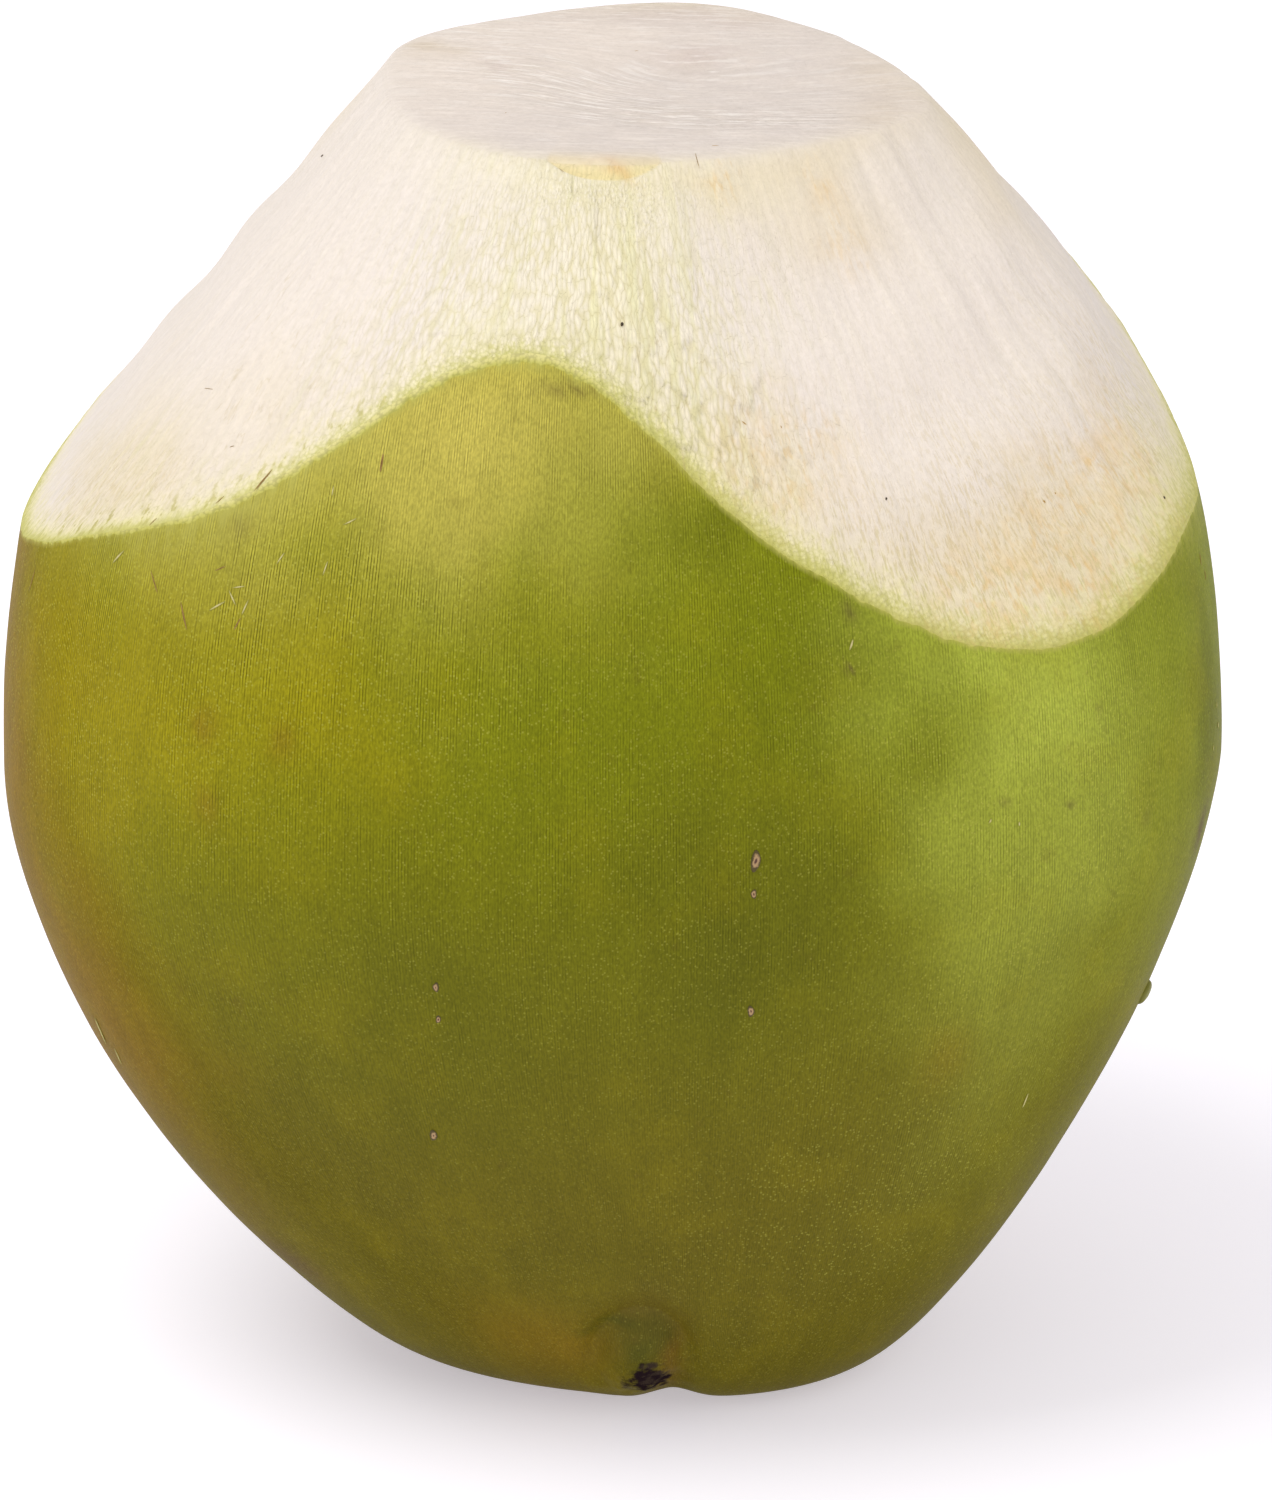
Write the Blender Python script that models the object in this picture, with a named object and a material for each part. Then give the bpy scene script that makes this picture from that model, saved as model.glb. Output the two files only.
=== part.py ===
"""Green coconut for drinking, its crown pared to a blunt white cone, standing on its lower end."""

import math

import bmesh
import bpy
from mathutils import Vector

MM = 0.001

# Sizes are in millimetres and angles in degrees. Azimuth 0 faces the front (-Y) and grows towards the right (+X).
# The uncut fruit: a rounded body with three soft ridges, widest at WIDEST_Z and tapering to its lower end.
WIDEST_Z = 86.0
HALF_WIDTH = 81.0
HALF_DEPTH_FRONT = 75.0
HALF_DEPTH_BACK = 77.0
CROWN_HEIGHT = 105.5
CROWN_FULLNESS = 2.13
LOWER_HEIGHT = 102.0
LOWER_FULLNESS = 1.6
RIDGE_SHARE = 0.05
RIDGE_AZIMUTH = -49.0
LOWER_RIDGE_SHARE = 0.024
LOWER_RIDGE_AZIMUTH = 29.0
LEAN_RIGHT = 7.0
LEAN_FRONT = 6.5
FOOT_ROUNDING = 2.0
FOOT_TRIM = 0.12

# The crown: knife strokes as (azimuth, slope from level, reach from the axis at the disc), then the flat disc on top.
KNIFE_STROKES = [
    (-146, 56.5, 33.5),
    (-101, 51.5, 31.5),
    (-84, 49.5, 30.5),
    (-51, 46.0, 34.5),
    (-6, 43.0, 38.0),
    (28, 57.5, 38.5),
    (46, 57.5, 39.5),
    (87, 59.5, 49.0),
    (106, 47.0, 41.0),
    (137, 47.0, 43.0),
    (182, 50.0, 43.5),
]
STROKE_BLEND = 3.5
DISC_Z = 175.0
DISC_TILT = 1.5
RIPPLE_DEPTH = 0.35
RIPPLE_LENGTH = 21.0

# The blossom tip, low at the front: a boss under an arched fold, with a hollow to its right.
TIP_X = 5.0
TIP_Z = 10.5
TIP_HALF_WIDTH = 8.0
TIP_HALF_HEIGHT = 10.5
FOLD_DEPTH = 1.7
FOLD_WIDTH = 2.4
BOSS_HEIGHT = 1.3
HOLLOW_X = 12.5
HOLLOW_Z = 3.0
HOLLOW_DEPTH = 2.4
TIP_START = 22.0
TIP_ONSET = 10.0

# Mesh rings, counted from the foot to the crown.
SEGMENTS = 108
FOOT_RING_ANGLES = [7, 12, 16, 18.5]
TIP_RING_STEP = 2.5
TIP_RING_TOP = 46
SKIN_RINGS = 17
HUSK_RING_SHARES = [0.03, 0.12, 0.24, 0.36, 0.48, 0.6, 0.72, 0.84, 0.97, 1]
DISC_RING_SHARES = [0.04, 0.3, 0.55, 0.8]


def softest(radii, blend):
    """The smallest of the radii, with the corners between them rounded over about the blend."""
    least = min(radii)
    return least - blend * math.log(sum(math.exp((least - r) / blend) for r in radii))


def skin_radius(elevation, azimuth):
    """Distance from the body's centre to the uncut skin; both angles are in radians."""
    side, front = math.sin(azimuth), math.cos(azimuth)
    depth = HALF_DEPTH_FRONT if front > 0 else HALF_DEPTH_BACK
    width = HALF_WIDTH * side**2 + depth * front**2
    width *= 1 + RIDGE_SHARE * math.cos(3 * (azimuth - math.radians(RIDGE_AZIMUTH)))
    out, up = math.cos(elevation), math.sin(elevation)
    if up > 0:
        height, fullness = CROWN_HEIGHT, CROWN_FULLNESS
    else:
        height, fullness = LOWER_HEIGHT, LOWER_FULLNESS
    radius = ((out / width) ** fullness + (abs(up) / height) ** fullness) ** (-1 / fullness)
    ridge = math.cos(3 * (azimuth - math.radians(LOWER_RIDGE_AZIMUTH)))
    radius *= 1 + 2 * LOWER_RIDGE_SHARE * max(-up, 0) * out * ridge
    if up < -0.05:
        radius = softest([radius, WIDEST_Z / -up], FOOT_ROUNDING)
    return radius


def husk_radius(elevation, azimuth):
    """Distance from the body's centre to the pared cone, where the knife strokes run into each other."""
    radii = []
    for stroke_azimuth, slope, reach in KNIFE_STROKES:
        steepness = math.tan(math.radians(slope))
        towards = math.cos(azimuth - math.radians(stroke_azimuth)) * math.cos(elevation)
        facing = towards * steepness + math.sin(elevation)
        if facing > 0.05:
            radii.append((DISC_Z - WIDEST_Z + reach * steepness) / facing)
    return softest(radii, STROKE_BLEND)


def disc_radius(elevation, azimuth):
    """Distance from the body's centre to the flat disc, which falls a little to the right."""
    facing = math.sin(elevation) + math.tan(math.radians(DISC_TILT)) * math.cos(elevation) * math.sin(azimuth)
    return (DISC_Z - WIDEST_Z) / facing if facing > 0.05 else math.inf


def meeting(inner, outer, azimuth, low, high):
    """The elevation between low and high at which the outer surface comes down to the inner one."""
    for _ in range(40):
        middle = (low + high) / 2
        if outer(middle, azimuth) > inner(middle, azimuth):
            low = middle
        else:
            high = middle
    return (low + high) / 2


def leaned(elevation, azimuth, radius):
    """The point at these angles, with the lower end moved forwards and to the right."""
    out = radius * math.cos(elevation)
    point = Vector((out * math.sin(azimuth), -out * math.cos(azimuth), WIDEST_Z + radius * math.sin(elevation)))
    below = min(max((WIDEST_Z - point.z) / WIDEST_Z, 0), 1)
    return point + Vector((LEAN_RIGHT, -LEAN_FRONT, 0)) * below**2


def bell(distance, width):
    return math.exp(-((distance / width) ** 2))


def tip_relief(point):
    """How far the blossom tip raises the skin at a point of the lower front."""
    if point.y > -TIP_START or point.z > 40:
        return 0.0
    onset = min((-TIP_START - point.y) / TIP_ONSET, 1)
    across, up = point.x - TIP_X, point.z - TIP_Z
    ring = math.hypot(across / TIP_HALF_WIDTH, up / TIP_HALF_HEIGHT)
    over_the_top = 1 / (1 + math.exp(-up / 2.5))
    fold = FOLD_DEPTH * bell((ring - 1) * TIP_HALF_WIDTH, FOLD_WIDTH) * over_the_top
    boss = BOSS_HEIGHT * bell(ring, 0.75)
    hollow = HOLLOW_DEPTH * bell(math.hypot((point.x - HOLLOW_X) / 4.5, (point.z - HOLLOW_Z) / 9.0), 1.0)
    return (boss - fold - hollow) * onset


def husk_relief(elevation, azimuth, share):
    """Shallow ripples that the blade left across the cone, fading out at its two edges."""
    along = math.degrees(elevation) * 1.6 + 9 * math.sin(2.3 * azimuth)
    fade = 4 * share * (1 - share)
    return RIPPLE_DEPTH * fade * math.sin(2 * math.pi * along / RIPPLE_LENGTH) * math.cos(azimuth - 0.8)


def meridian(azimuth):
    """The points from the foot's rim up to the disc, and the material index of the band above each point."""
    edge = meeting(skin_radius, husk_radius, azimuth, math.radians(-20), math.radians(75))
    rim = meeting(husk_radius, disc_radius, azimuth, edge, math.radians(89))
    points, bands = [], []
    angles = list(FOOT_RING_ANGLES)
    while angles[-1] < TIP_RING_TOP:
        angles.append(angles[-1] + TIP_RING_STEP)
    last = angles[-1]
    edge_angle = math.degrees(edge) + 90
    angles += [last + (edge_angle - last) * (i + 1) / SKIN_RINGS for i in range(SKIN_RINGS)]
    for angle in angles:
        elevation = math.radians(angle - 90)
        radius = skin_radius(elevation, azimuth)
        point = leaned(elevation, azimuth, radius)
        outwards = (point - Vector((0, 0, WIDEST_Z))).normalized()
        point += outwards * tip_relief(point)
        point.z = max(point.z, FOOT_TRIM)
        points.append(point)
        bands.append(0)
    for share in HUSK_RING_SHARES:
        elevation = edge + (rim - edge) * share
        radius = husk_radius(elevation, azimuth) + husk_relief(elevation, azimuth, share)
        points.append(leaned(elevation, azimuth, radius))
        bands.append(1)
    for share in DISC_RING_SHARES:
        elevation = rim + (math.pi / 2 - rim) * share
        points.append(leaned(elevation, azimuth, disc_radius(elevation, azimuth)))
        bands.append(1)
    return points, bands


def coconut_mesh():
    """One closed body whose mesh rows follow the foot, the skin, the cut edge and the disc's rim."""
    bm = bmesh.new()
    rows, bands = [], []
    for i in range(SEGMENTS):
        points, bands = meridian(2 * math.pi * i / SEGMENTS)
        rows.append([bm.verts.new(point * MM) for point in points])
    foot = bm.verts.new(Vector((LEAN_RIGHT, -LEAN_FRONT, FOOT_TRIM)) * MM)
    top = bm.verts.new(leaned(math.pi / 2, 0, disc_radius(math.pi / 2, 0)) * MM)
    for i in range(SEGMENTS):
        here, beside = rows[i], rows[(i + 1) % SEGMENTS]
        bm.faces.new((foot, beside[0], here[0]))
        for j in range(len(here) - 1):
            face = bm.faces.new((here[j], beside[j], beside[j + 1], here[j + 1]))
            face.material_index = bands[j + 1]
        cap = bm.faces.new((here[-1], beside[-1], top))
        cap.material_index = 1
    bmesh.ops.recalc_face_normals(bm, faces=bm.faces)
    low = Vector([min(v.co[k] for v in bm.verts) for k in range(3)])
    high = Vector([max(v.co[k] for v in bm.verts) for k in range(3)])
    shift = Vector((-(low.x + high.x) / 2, -(low.y + high.y) / 2, -low.z))
    bmesh.ops.translate(bm, verts=bm.verts, vec=shift)
    mesh = bpy.data.meshes.new("coconut")
    bm.to_mesh(mesh)
    bm.free()
    return mesh


def plain_material(name, colour, roughness):
    material = bpy.data.materials.new(name)
    material.use_nodes = True
    shader = material.node_tree.nodes["Principled BSDF"]
    shader.inputs["Base Color"].default_value = (*colour, 1)
    shader.inputs["Roughness"].default_value = roughness
    return material


def main():
    for old in list(bpy.data.objects):
        bpy.data.objects.remove(old, do_unlink=True)
    mesh = coconut_mesh()
    mesh.materials.append(plain_material("green_skin", (0.19, 0.26, 0.015), 0.45))
    mesh.materials.append(plain_material("pared_husk", (0.83, 0.78, 0.66), 0.75))
    coconut = bpy.data.objects.new("coconut", mesh)
    bpy.context.scene.collection.objects.link(coconut)
    mesh.shade_smooth()
    mesh.set_sharp_from_angle(angle=math.radians(28))


main()
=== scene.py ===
import math
import bpy
import numpy as np
from mathutils import Matrix, Quaternion, Vector
from mathutils.kdtree import KDTree


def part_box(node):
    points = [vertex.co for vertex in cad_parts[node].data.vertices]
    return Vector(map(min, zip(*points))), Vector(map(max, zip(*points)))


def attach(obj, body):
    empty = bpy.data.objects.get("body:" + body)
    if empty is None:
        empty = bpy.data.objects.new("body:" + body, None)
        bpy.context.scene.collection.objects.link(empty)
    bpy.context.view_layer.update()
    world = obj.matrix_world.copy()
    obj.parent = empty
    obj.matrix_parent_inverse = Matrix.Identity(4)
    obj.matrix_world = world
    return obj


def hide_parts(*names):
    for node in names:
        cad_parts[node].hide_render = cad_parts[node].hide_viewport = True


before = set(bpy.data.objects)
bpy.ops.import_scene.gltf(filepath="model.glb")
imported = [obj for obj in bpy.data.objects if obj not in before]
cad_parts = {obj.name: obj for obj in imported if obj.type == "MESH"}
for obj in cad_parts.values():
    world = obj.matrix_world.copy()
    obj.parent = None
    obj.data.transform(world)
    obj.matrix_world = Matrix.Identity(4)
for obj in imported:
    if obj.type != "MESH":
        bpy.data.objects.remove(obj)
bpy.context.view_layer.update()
mm = 0.001
print("packed coconut loaded")

# The fruit's own form, in millimetres and degrees, as the solid has it.
# Azimuth 0 faces the front and grows towards the right; elevations are seen from the middle at widestZ.
fruit = {
    "widestZ": 86.0,
    "halfWidth": 81.0,
    "depthFront": 75.0,
    "depthBack": 77.0,
    "crownHeight": 105.5,
    "crownFullness": 2.13,
    "lowerHeight": 102.0,
    "lowerFullness": 1.6,
    "ridgeShare": 0.05,
    "ridgeAzimuth": -49.0,
    "lowerRidgeShare": 0.024,
    "lowerRidgeAzimuth": 29.0,
    "leanRight": 7.0,
    "leanFront": 6.5,
    "footRounding": 2.0,
    "footTrim": 0.12,
    "discZ": 175.0,
    "discTilt": 1.5,
    "strokeBlend": 3.5,
    # each knife stroke round the crown: azimuth, slope from level, reach from the axis at the disc
    "strokes": [
        (-146, 56.5, 33.5), (-101, 51.5, 31.5), (-84, 49.5, 30.5), (-51, 46.0, 34.5), (-6, 43.0, 38.0),
        (28, 57.5, 38.5), (46, 57.5, 39.5), (87, 59.5, 49.0), (106, 47.0, 41.0), (137, 47.0, 43.0),
        (182, 50.0, 43.5),
    ],
}

# The mesh: columns run round the fruit, closer together at the front.
# Rings run from the foot to the crown.
grid = {
    "columns": 560,
    "frontBias": 0.3,
    "footRings": 8,
    "lowRings": 58,
    "bodyRings": 82,
    "wallRings": 14,
    "hiddenRings": 12,
    "coneRings": 116,
    "discRings": 46,
    "footAngle": 18.5,
    "lowAngle": 48.0,
    "bodyBias": 0.3,
    "coneBias": 0.15,
}
# Distances round the fruit are counted at these radii.
roundAt = {"skin": 80.0, "cone": 55.0, "rim": 38.0}


def bell(distance, width):
    return np.exp(-((distance / width) ** 2))


def ease(value, low, high):            # 0 below low, 1 above high, and smooth between them
    share = np.clip((value - low) / (high - low), 0, 1)
    return share * share * (3 - 2 * share)


def turn(angle, middle):               # how far an azimuth is from another one, in degrees, -180 to 180
    return (np.degrees(angle) - middle + 180) % 360 - 180


def dice(cells, seed):                 # a steady random number from 0 to 1 for each cell of a grid
    mixed = (cells[..., 0] * 73856093) ^ (cells[..., 1] * 19349663) ^ (cells[..., 2] * 83492791)
    mixed = (mixed + seed * 668265263) & 0xFFFFFFFF
    mixed = ((mixed ^ (mixed >> 13)) * 1274126177) & 0xFFFFFFFF
    mixed = ((mixed ^ (mixed >> 15)) * 461845907) & 0xFFFFFFFF
    return ((mixed ^ (mixed >> 16)) & 0xFFFF) / 0xFFFF


def softNoise(points, size, seed=0, octaves=1):    # soft noise, about -1 to 1, for an array of points
    total = 0
    for octave in range(octaves):
        place = np.asarray(points, float) / size * 2**octave + 0.37 * octave
        cell = np.floor(place).astype(np.int64)
        inside = place - cell
        fade = inside * inside * (3 - 2 * inside)
        for corner in np.ndindex(2, 2, 2):
            weight = np.prod(np.where(corner, fade, 1 - fade), axis=-1)
            total = total + (dice(cell + corner, seed + 17 * octave) * 2 - 1) * weight / 2**octave
    return total


def cellCentres(points, seed):         # the nearest of the random points that are spread one in each cell
    cell = np.floor(points).astype(np.int64)
    nearest, best = np.zeros_like(points), np.full(points.shape[:-1], 1e9)
    for step in np.ndindex(3, 3, 3):
        beside = cell + step - np.array((1, 1, 1))
        centre = beside + np.stack([dice(beside, seed + axis) for axis in range(3)], -1)
        distance = np.linalg.norm(points - centre, axis=-1)
        closer = distance < best
        best = np.where(closer, distance, best)
        nearest = np.where(closer[..., None], centre, nearest)
    return nearest


def azimuthOf(points):                 # in degrees
    return np.degrees(np.arctan2(points[..., 0], -points[..., 1]))


def bells(azimuth, rows):              # soft places round the fruit: azimuth, half width, strength
    return sum(strength * bell(turn(azimuth, middle), halfWidth) for middle, halfWidth, strength in rows)


def patchMask(across, up, points, patches, waver, size, seed):    # soft patches with wavering borders
    sideways = waver * softNoise(points, size, seed, 3)
    upwards = waver * softNoise(points, size, seed + 1, 3)
    left = np.ones(across.shape)
    for middle, height, halfWidth, halfHeight, strength in patches:
        aside = ((across - middle + 180) % 360 - 180 + sideways) / halfWidth
        left = left * (1 - strength * bell(np.hypot(aside, (up - height + upwards) / halfHeight), 1))
    return 1 - left


def softest(radii, blend):             # the smallest of the radii, with rounded corners between them
    least = radii.min(axis=0)
    return least - blend * np.log(np.exp((least - radii) / blend).sum(axis=0))


def skinRadius(elevation, azimuth):    # from the middle to the uncut skin
    side, front = np.sin(azimuth), np.cos(azimuth)
    depth = np.where(front > 0, fruit["depthFront"], fruit["depthBack"])
    width = fruit["halfWidth"] * side**2 + depth * front**2
    width = width * (1 + fruit["ridgeShare"] * np.cos(3 * (azimuth - math.radians(fruit["ridgeAzimuth"]))))
    out, up = np.cos(elevation), np.sin(elevation)
    height = np.where(up > 0, fruit["crownHeight"], fruit["lowerHeight"])
    fullness = np.where(up > 0, fruit["crownFullness"], fruit["lowerFullness"])
    radius = ((np.abs(out) / width) ** fullness + (np.abs(up) / height) ** fullness) ** (-1 / fullness)
    ridge = np.cos(3 * (azimuth - math.radians(fruit["lowerRidgeAzimuth"])))
    radius = radius * (1 + 2 * fruit["lowerRidgeShare"] * np.maximum(-up, 0) * out * ridge)
    level = fruit["widestZ"] / np.maximum(-up, 0.05)
    return np.where(up < -0.05, softest(np.stack([radius, level]), fruit["footRounding"]), radius)


# The knife wavers where it leaves the skin and where it meets the disc. Lengths are in millimetres.
knife = {
    "broad": [(61, 14, 1.0), (30, 13, 0.35), (-30, 24, -0.6)],    # azimuth, half width, how far outwards
    "edgeDepth": 0.10, "edgeSize": 7.0,
    "torn": [(33, 7, 1.0), (8, 10, 0.4), (-160, 16, 0.6)],
    "tornDepth": 0.22, "tornSize": 1.3,
    "rimDepth": 0.16, "rimSize": 6.0,
    "blendFrom": 32.0, "blendTo": 60.0,
}


def waverRound(azimuth, radius, size, seed, octaves):
    ring = np.stack([np.sin(azimuth) * radius, np.cos(azimuth) * radius, np.zeros_like(azimuth)], -1)
    return softNoise(ring, size, seed, octaves)


def edgeWobble(azimuth):
    waver = knife["edgeDepth"] * waverRound(azimuth, roundAt["skin"], knife["edgeSize"], 1, 2)
    tears = bells(azimuth, knife["torn"]) * waverRound(azimuth, roundAt["skin"], knife["tornSize"], 40, 1)
    return bells(azimuth, knife["broad"]) + waver + knife["tornDepth"] * tears


def rimWobble(azimuth):
    return knife["rimDepth"] * waverRound(azimuth, roundAt["rim"], knife["rimSize"], 2, 2)


def huskRadius(elevation, azimuth, wobble):    # from the middle to the pared cone
    radii = []
    for strokeAzimuth, slope, reach in fruit["strokes"]:
        steepness = math.tan(math.radians(slope))
        towards = np.cos(azimuth - math.radians(strokeAzimuth)) * np.cos(elevation)
        facing = towards * steepness + np.sin(elevation)
        radius = (fruit["discZ"] - fruit["widestZ"] + reach * steepness) / np.maximum(facing, 0.05)
        radii.append(np.where(facing > 0.05, radius, 1e4))
    high = ease(np.degrees(elevation), knife["blendFrom"], knife["blendTo"])
    return softest(np.stack(radii), fruit["strokeBlend"]) + wobble[0] * (1 - high) + wobble[1] * high


def discRadius(elevation, azimuth):    # from the middle to the flat disc, which falls a little to the right
    tilt = math.tan(math.radians(fruit["discTilt"])) * np.cos(elevation) * np.sin(azimuth)
    return (fruit["discZ"] - fruit["widestZ"]) / (np.sin(elevation) + tilt)


def meeting(inner, outer, low, high):  # the elevation at which the outer surface comes to the inner one
    for _ in range(40):
        middle = (low + high) / 2
        outside = outer(middle) > inner(middle)
        low, high = np.where(outside, middle, low), np.where(outside, high, middle)
    return (low + high) / 2


def leaned(elevation, azimuth, radius):    # the points, with the lower end moved forwards and to the right
    out = radius * np.cos(elevation)
    height = fruit["widestZ"] + radius * np.sin(elevation)
    below = np.clip((fruit["widestZ"] - height) / fruit["widestZ"], 0, 1) ** 2
    across = out * np.sin(azimuth) + fruit["leanRight"] * below
    return np.stack([across, -out * np.cos(azimuth) - fruit["leanFront"] * below, height], -1)


def gridNormals(points):               # outward normals of a grid of rings and columns
    upwards = np.gradient(points, axis=0)
    around = np.roll(points, -1, axis=1) - np.roll(points, 1, axis=1)
    normal = np.cross(around, upwards)
    return normal / np.maximum(np.linalg.norm(normal, axis=-1, keepdims=True), 1e-9)


def arcLengths(points):                # millimetres along each column from its first ring
    steps = np.linalg.norm(np.diff(points, axis=0), axis=-1)
    return np.concatenate([np.zeros((1, points.shape[1])), np.cumsum(steps, axis=0)])


columns = grid["columns"]
turned = 2 * math.pi * np.arange(columns) / columns
azimuths = turned - grid["frontBias"] * np.sin(turned)
wobbles = edgeWobble(azimuths), rimWobble(azimuths)
quarter = math.pi / 2
edgeElevation = meeting(lambda e: skinRadius(e, azimuths), lambda e: huskRadius(e, azimuths, wobbles),
                        np.full(columns, math.radians(-20)), np.full(columns, math.radians(75)))
rimElevation = meeting(lambda e: huskRadius(e, azimuths, wobbles), lambda e: discRadius(e, azimuths),
                       edgeElevation, np.full(columns, math.radians(89)))
print("cut edge and rim found")

# The blossom tip, low at the front: a boss under an arched fold, with a hollow to its right.
tip = {
    "x": 5.6, "z": 10.3, "halfWidth": 6.2, "halfHeight": 9.6,
    "foldDepth": 2.0, "foldWidth": 1.9, "bossHeight": 1.4,
    "foldSoftness": 2.5, "bossSize": 0.75,
    "hollowX": 9.9, "hollowZ": 3.0, "hollowDepth": 1.4, "hollowHalfWidth": 3.8, "hollowHalfHeight": 9.0,
    "start": 22.0, "onset": 10.0, "top": 40.0,
    "scarX": 6.5, "scarZ": 7.0, "scarSize": 5.0, "scarRoughness": 0.45, "scarGrain": 2.2,
}


def tipRelief(points):
    x, y, z = points[..., 0], points[..., 1], points[..., 2]
    onset = np.clip((-tip["start"] - y) / tip["onset"], 0, 1) * (z < tip["top"])
    across, up = x - tip["x"], z - tip["z"]
    ring = np.hypot(across / tip["halfWidth"], up / tip["halfHeight"])
    overTheTop = 1 / (1 + np.exp(-up / tip["foldSoftness"]))
    fold = tip["foldDepth"] * bell((ring - 1) * tip["halfWidth"], tip["foldWidth"]) * overTheTop
    boss = tip["bossHeight"] * bell(ring, tip["bossSize"])
    aside = (x - tip["hollowX"]) / tip["hollowHalfWidth"]
    above = (z - tip["hollowZ"]) / tip["hollowHalfHeight"]
    hollow = tip["hollowDepth"] * bell(np.hypot(aside, above), 1)
    rough = bell(np.hypot(x - tip["scarX"], z - tip["scarZ"]), tip["scarSize"])
    rough = rough * tip["scarRoughness"] * softNoise(points, tip["scarGrain"], 3, 3)
    return (boss - fold - hollow + rough) * onset


# The green skin, a thin closed shell from the foot up to the cut edge.
skinShape = {
    "thickness": 1.5,
    "thicknessLow": 5.0,
    "dentDepth": 0.28,
    "dentSize": 34.0,
    "rippleDepth": 0.05,
    "rippleSize": 9.0,
    "calmNearEdge": 8.0,
    "calmFoot": (1.5, 10.0),    # from and to which height its dents begin
    "thicker": (20.0, 90.0),    # between these heights the skin gets thicker downwards
}


def skinRings():
    foot = np.linspace(0, grid["footAngle"], grid["footRings"] + 1)
    low = np.linspace(grid["footAngle"], grid["lowAngle"], grid["lowRings"] + 1)[1:]
    shares = np.linspace(0, 1, grid["bodyRings"] + 1)[1:, None]
    top = np.degrees(edgeElevation)[None, :] + 90
    risen = shares + grid["bodyBias"] * shares * (1 - shares)
    body = grid["lowAngle"] + (top - grid["lowAngle"]) * risen
    fixed = np.concatenate([foot, low])[:, None] * np.ones(columns)
    return np.radians(np.concatenate([fixed, body]) - 90)


def skinPoints():
    elevation = skinRings()
    azimuth = azimuths[None, :] * np.ones_like(elevation)
    points = leaned(elevation, azimuth, skinRadius(elevation, azimuth))
    normals = gridNormals(points)
    normals[0] = (0, 0, -1)
    toEdge = arcLengths(points)[-1] - arcLengths(points)
    clear = ease(toEdge, 0, skinShape["calmNearEdge"]) * ease(points[..., 2], *skinShape["calmFoot"])
    dents = skinShape["dentDepth"] * softNoise(points, skinShape["dentSize"], 4, 2)
    ripples = skinShape["rippleDepth"] * softNoise(points, skinShape["rippleSize"], 5, 2)
    points = points + normals * (tipRelief(points) + (dents + ripples) * clear)[..., None]
    points[..., 2] = np.maximum(points[..., 2], fruit["footTrim"])
    return points, toEdge


outerSkin, skinToEdge = skinPoints()
bodyLow, bodyHigh = outerSkin.reshape(-1, 3).min(0), outerSkin.reshape(-1, 3).max(0)
cadLow, cadHigh = (np.array(corner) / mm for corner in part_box("coconut"))
centring = (cadLow + cadHigh - bodyLow - bodyHigh) / 2
centring[2] = cadLow[2] - fruit["footTrim"]
print("skin shaped, moved by", [round(float(v), 2) for v in centring], "mm to the solid's place")


def inwards(points, thickness):        # the points, moved towards the fruit's middle
    middle = np.array([0, 0, fruit["widestZ"]])
    offset = points - middle
    return points - offset / np.linalg.norm(offset, axis=-1, keepdims=True) * thickness[..., None]


def wallPoints(rings, extra):          # the inside of the skin, ring by ring from the edge down to the foot
    picked = np.linspace(len(outerSkin) - 1, 0, rings + 1).round().astype(int)[1:]
    outer = outerSkin[picked]
    low = 1 - ease(outer[..., 2], *skinShape["thicker"])
    thickness = skinShape["thickness"] + (skinShape["thicknessLow"] - skinShape["thickness"]) * low + extra
    return inwards(outer, thickness)


def selectUpright(piece):              # only the edges that stand upright
    bpy.ops.mesh.select_mode(type="EDGE")
    bpy.ops.mesh.select_all(action="DESELECT")
    bpy.ops.object.mode_set(mode="OBJECT")
    for edge in piece.data.edges:
        first, last = (piece.data.vertices[end].co.z for end in edge.vertices)
        edge.select = abs(first - last) > 1e-6
    bpy.ops.object.mode_set(mode="EDIT")


def bodyOf(name, points):              # a closed tube whose rings and columns are moved to the given points
    rings = len(points) - 1
    bpy.ops.object.select_all(action="DESELECT")
    bpy.ops.mesh.primitive_cylinder_add(vertices=columns, radius=1, depth=2, end_fill_type="TRIFAN")
    piece = bpy.context.object
    piece.name = piece.data.name = name
    bpy.ops.object.mode_set(mode="EDIT")
    bands = max(count for count in range(1, 101) if (rings - 2) % count == 0)
    for parts in (bands, (rings - 2) // bands):    # one subdivide makes at most 100 cuts
        selectUpright(piece)
        bpy.ops.mesh.subdivide(number_cuts=parts - 1)
    bpy.ops.object.mode_set(mode="OBJECT")
    start = np.zeros(len(piece.data.vertices) * 3)
    piece.data.vertices.foreach_get("co", start)
    start = start.reshape(-1, 3)
    onSide = np.hypot(start[:, 0], start[:, 1]) > 0.5
    ring = np.rint((start[:, 2] + 1) / 2 * (rings - 2)).astype(int) + 1
    ring = np.where(onSide, ring, np.where(start[:, 2] > 0, rings, 0))
    column = np.rint(np.arctan2(start[:, 0], -start[:, 1]) / (2 * math.pi) * columns).astype(int) % columns
    piece.data.vertices.foreach_set("co", ((points[ring, column] + centring) * mm).ravel())
    piece.data.update()
    bpy.ops.object.shade_smooth()
    return piece, ring, column


def markSharp(piece, ring, row):       # a crisp line all round at one ring
    ends = np.zeros(len(piece.data.edges) * 2, int)
    piece.data.edges.foreach_get("vertices", ends)
    crisp = (ring[ends.reshape(-1, 2)] == row).all(axis=1)
    piece.data.attributes.new("sharp_edge", "BOOLEAN", "EDGE").data.foreach_set("value", crisp)


def addValues(piece, name, values):    # one number for each vertex
    piece.data.attributes.new(name, "FLOAT", "POINT").data.foreach_set("value", values.astype(np.float32))


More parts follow.
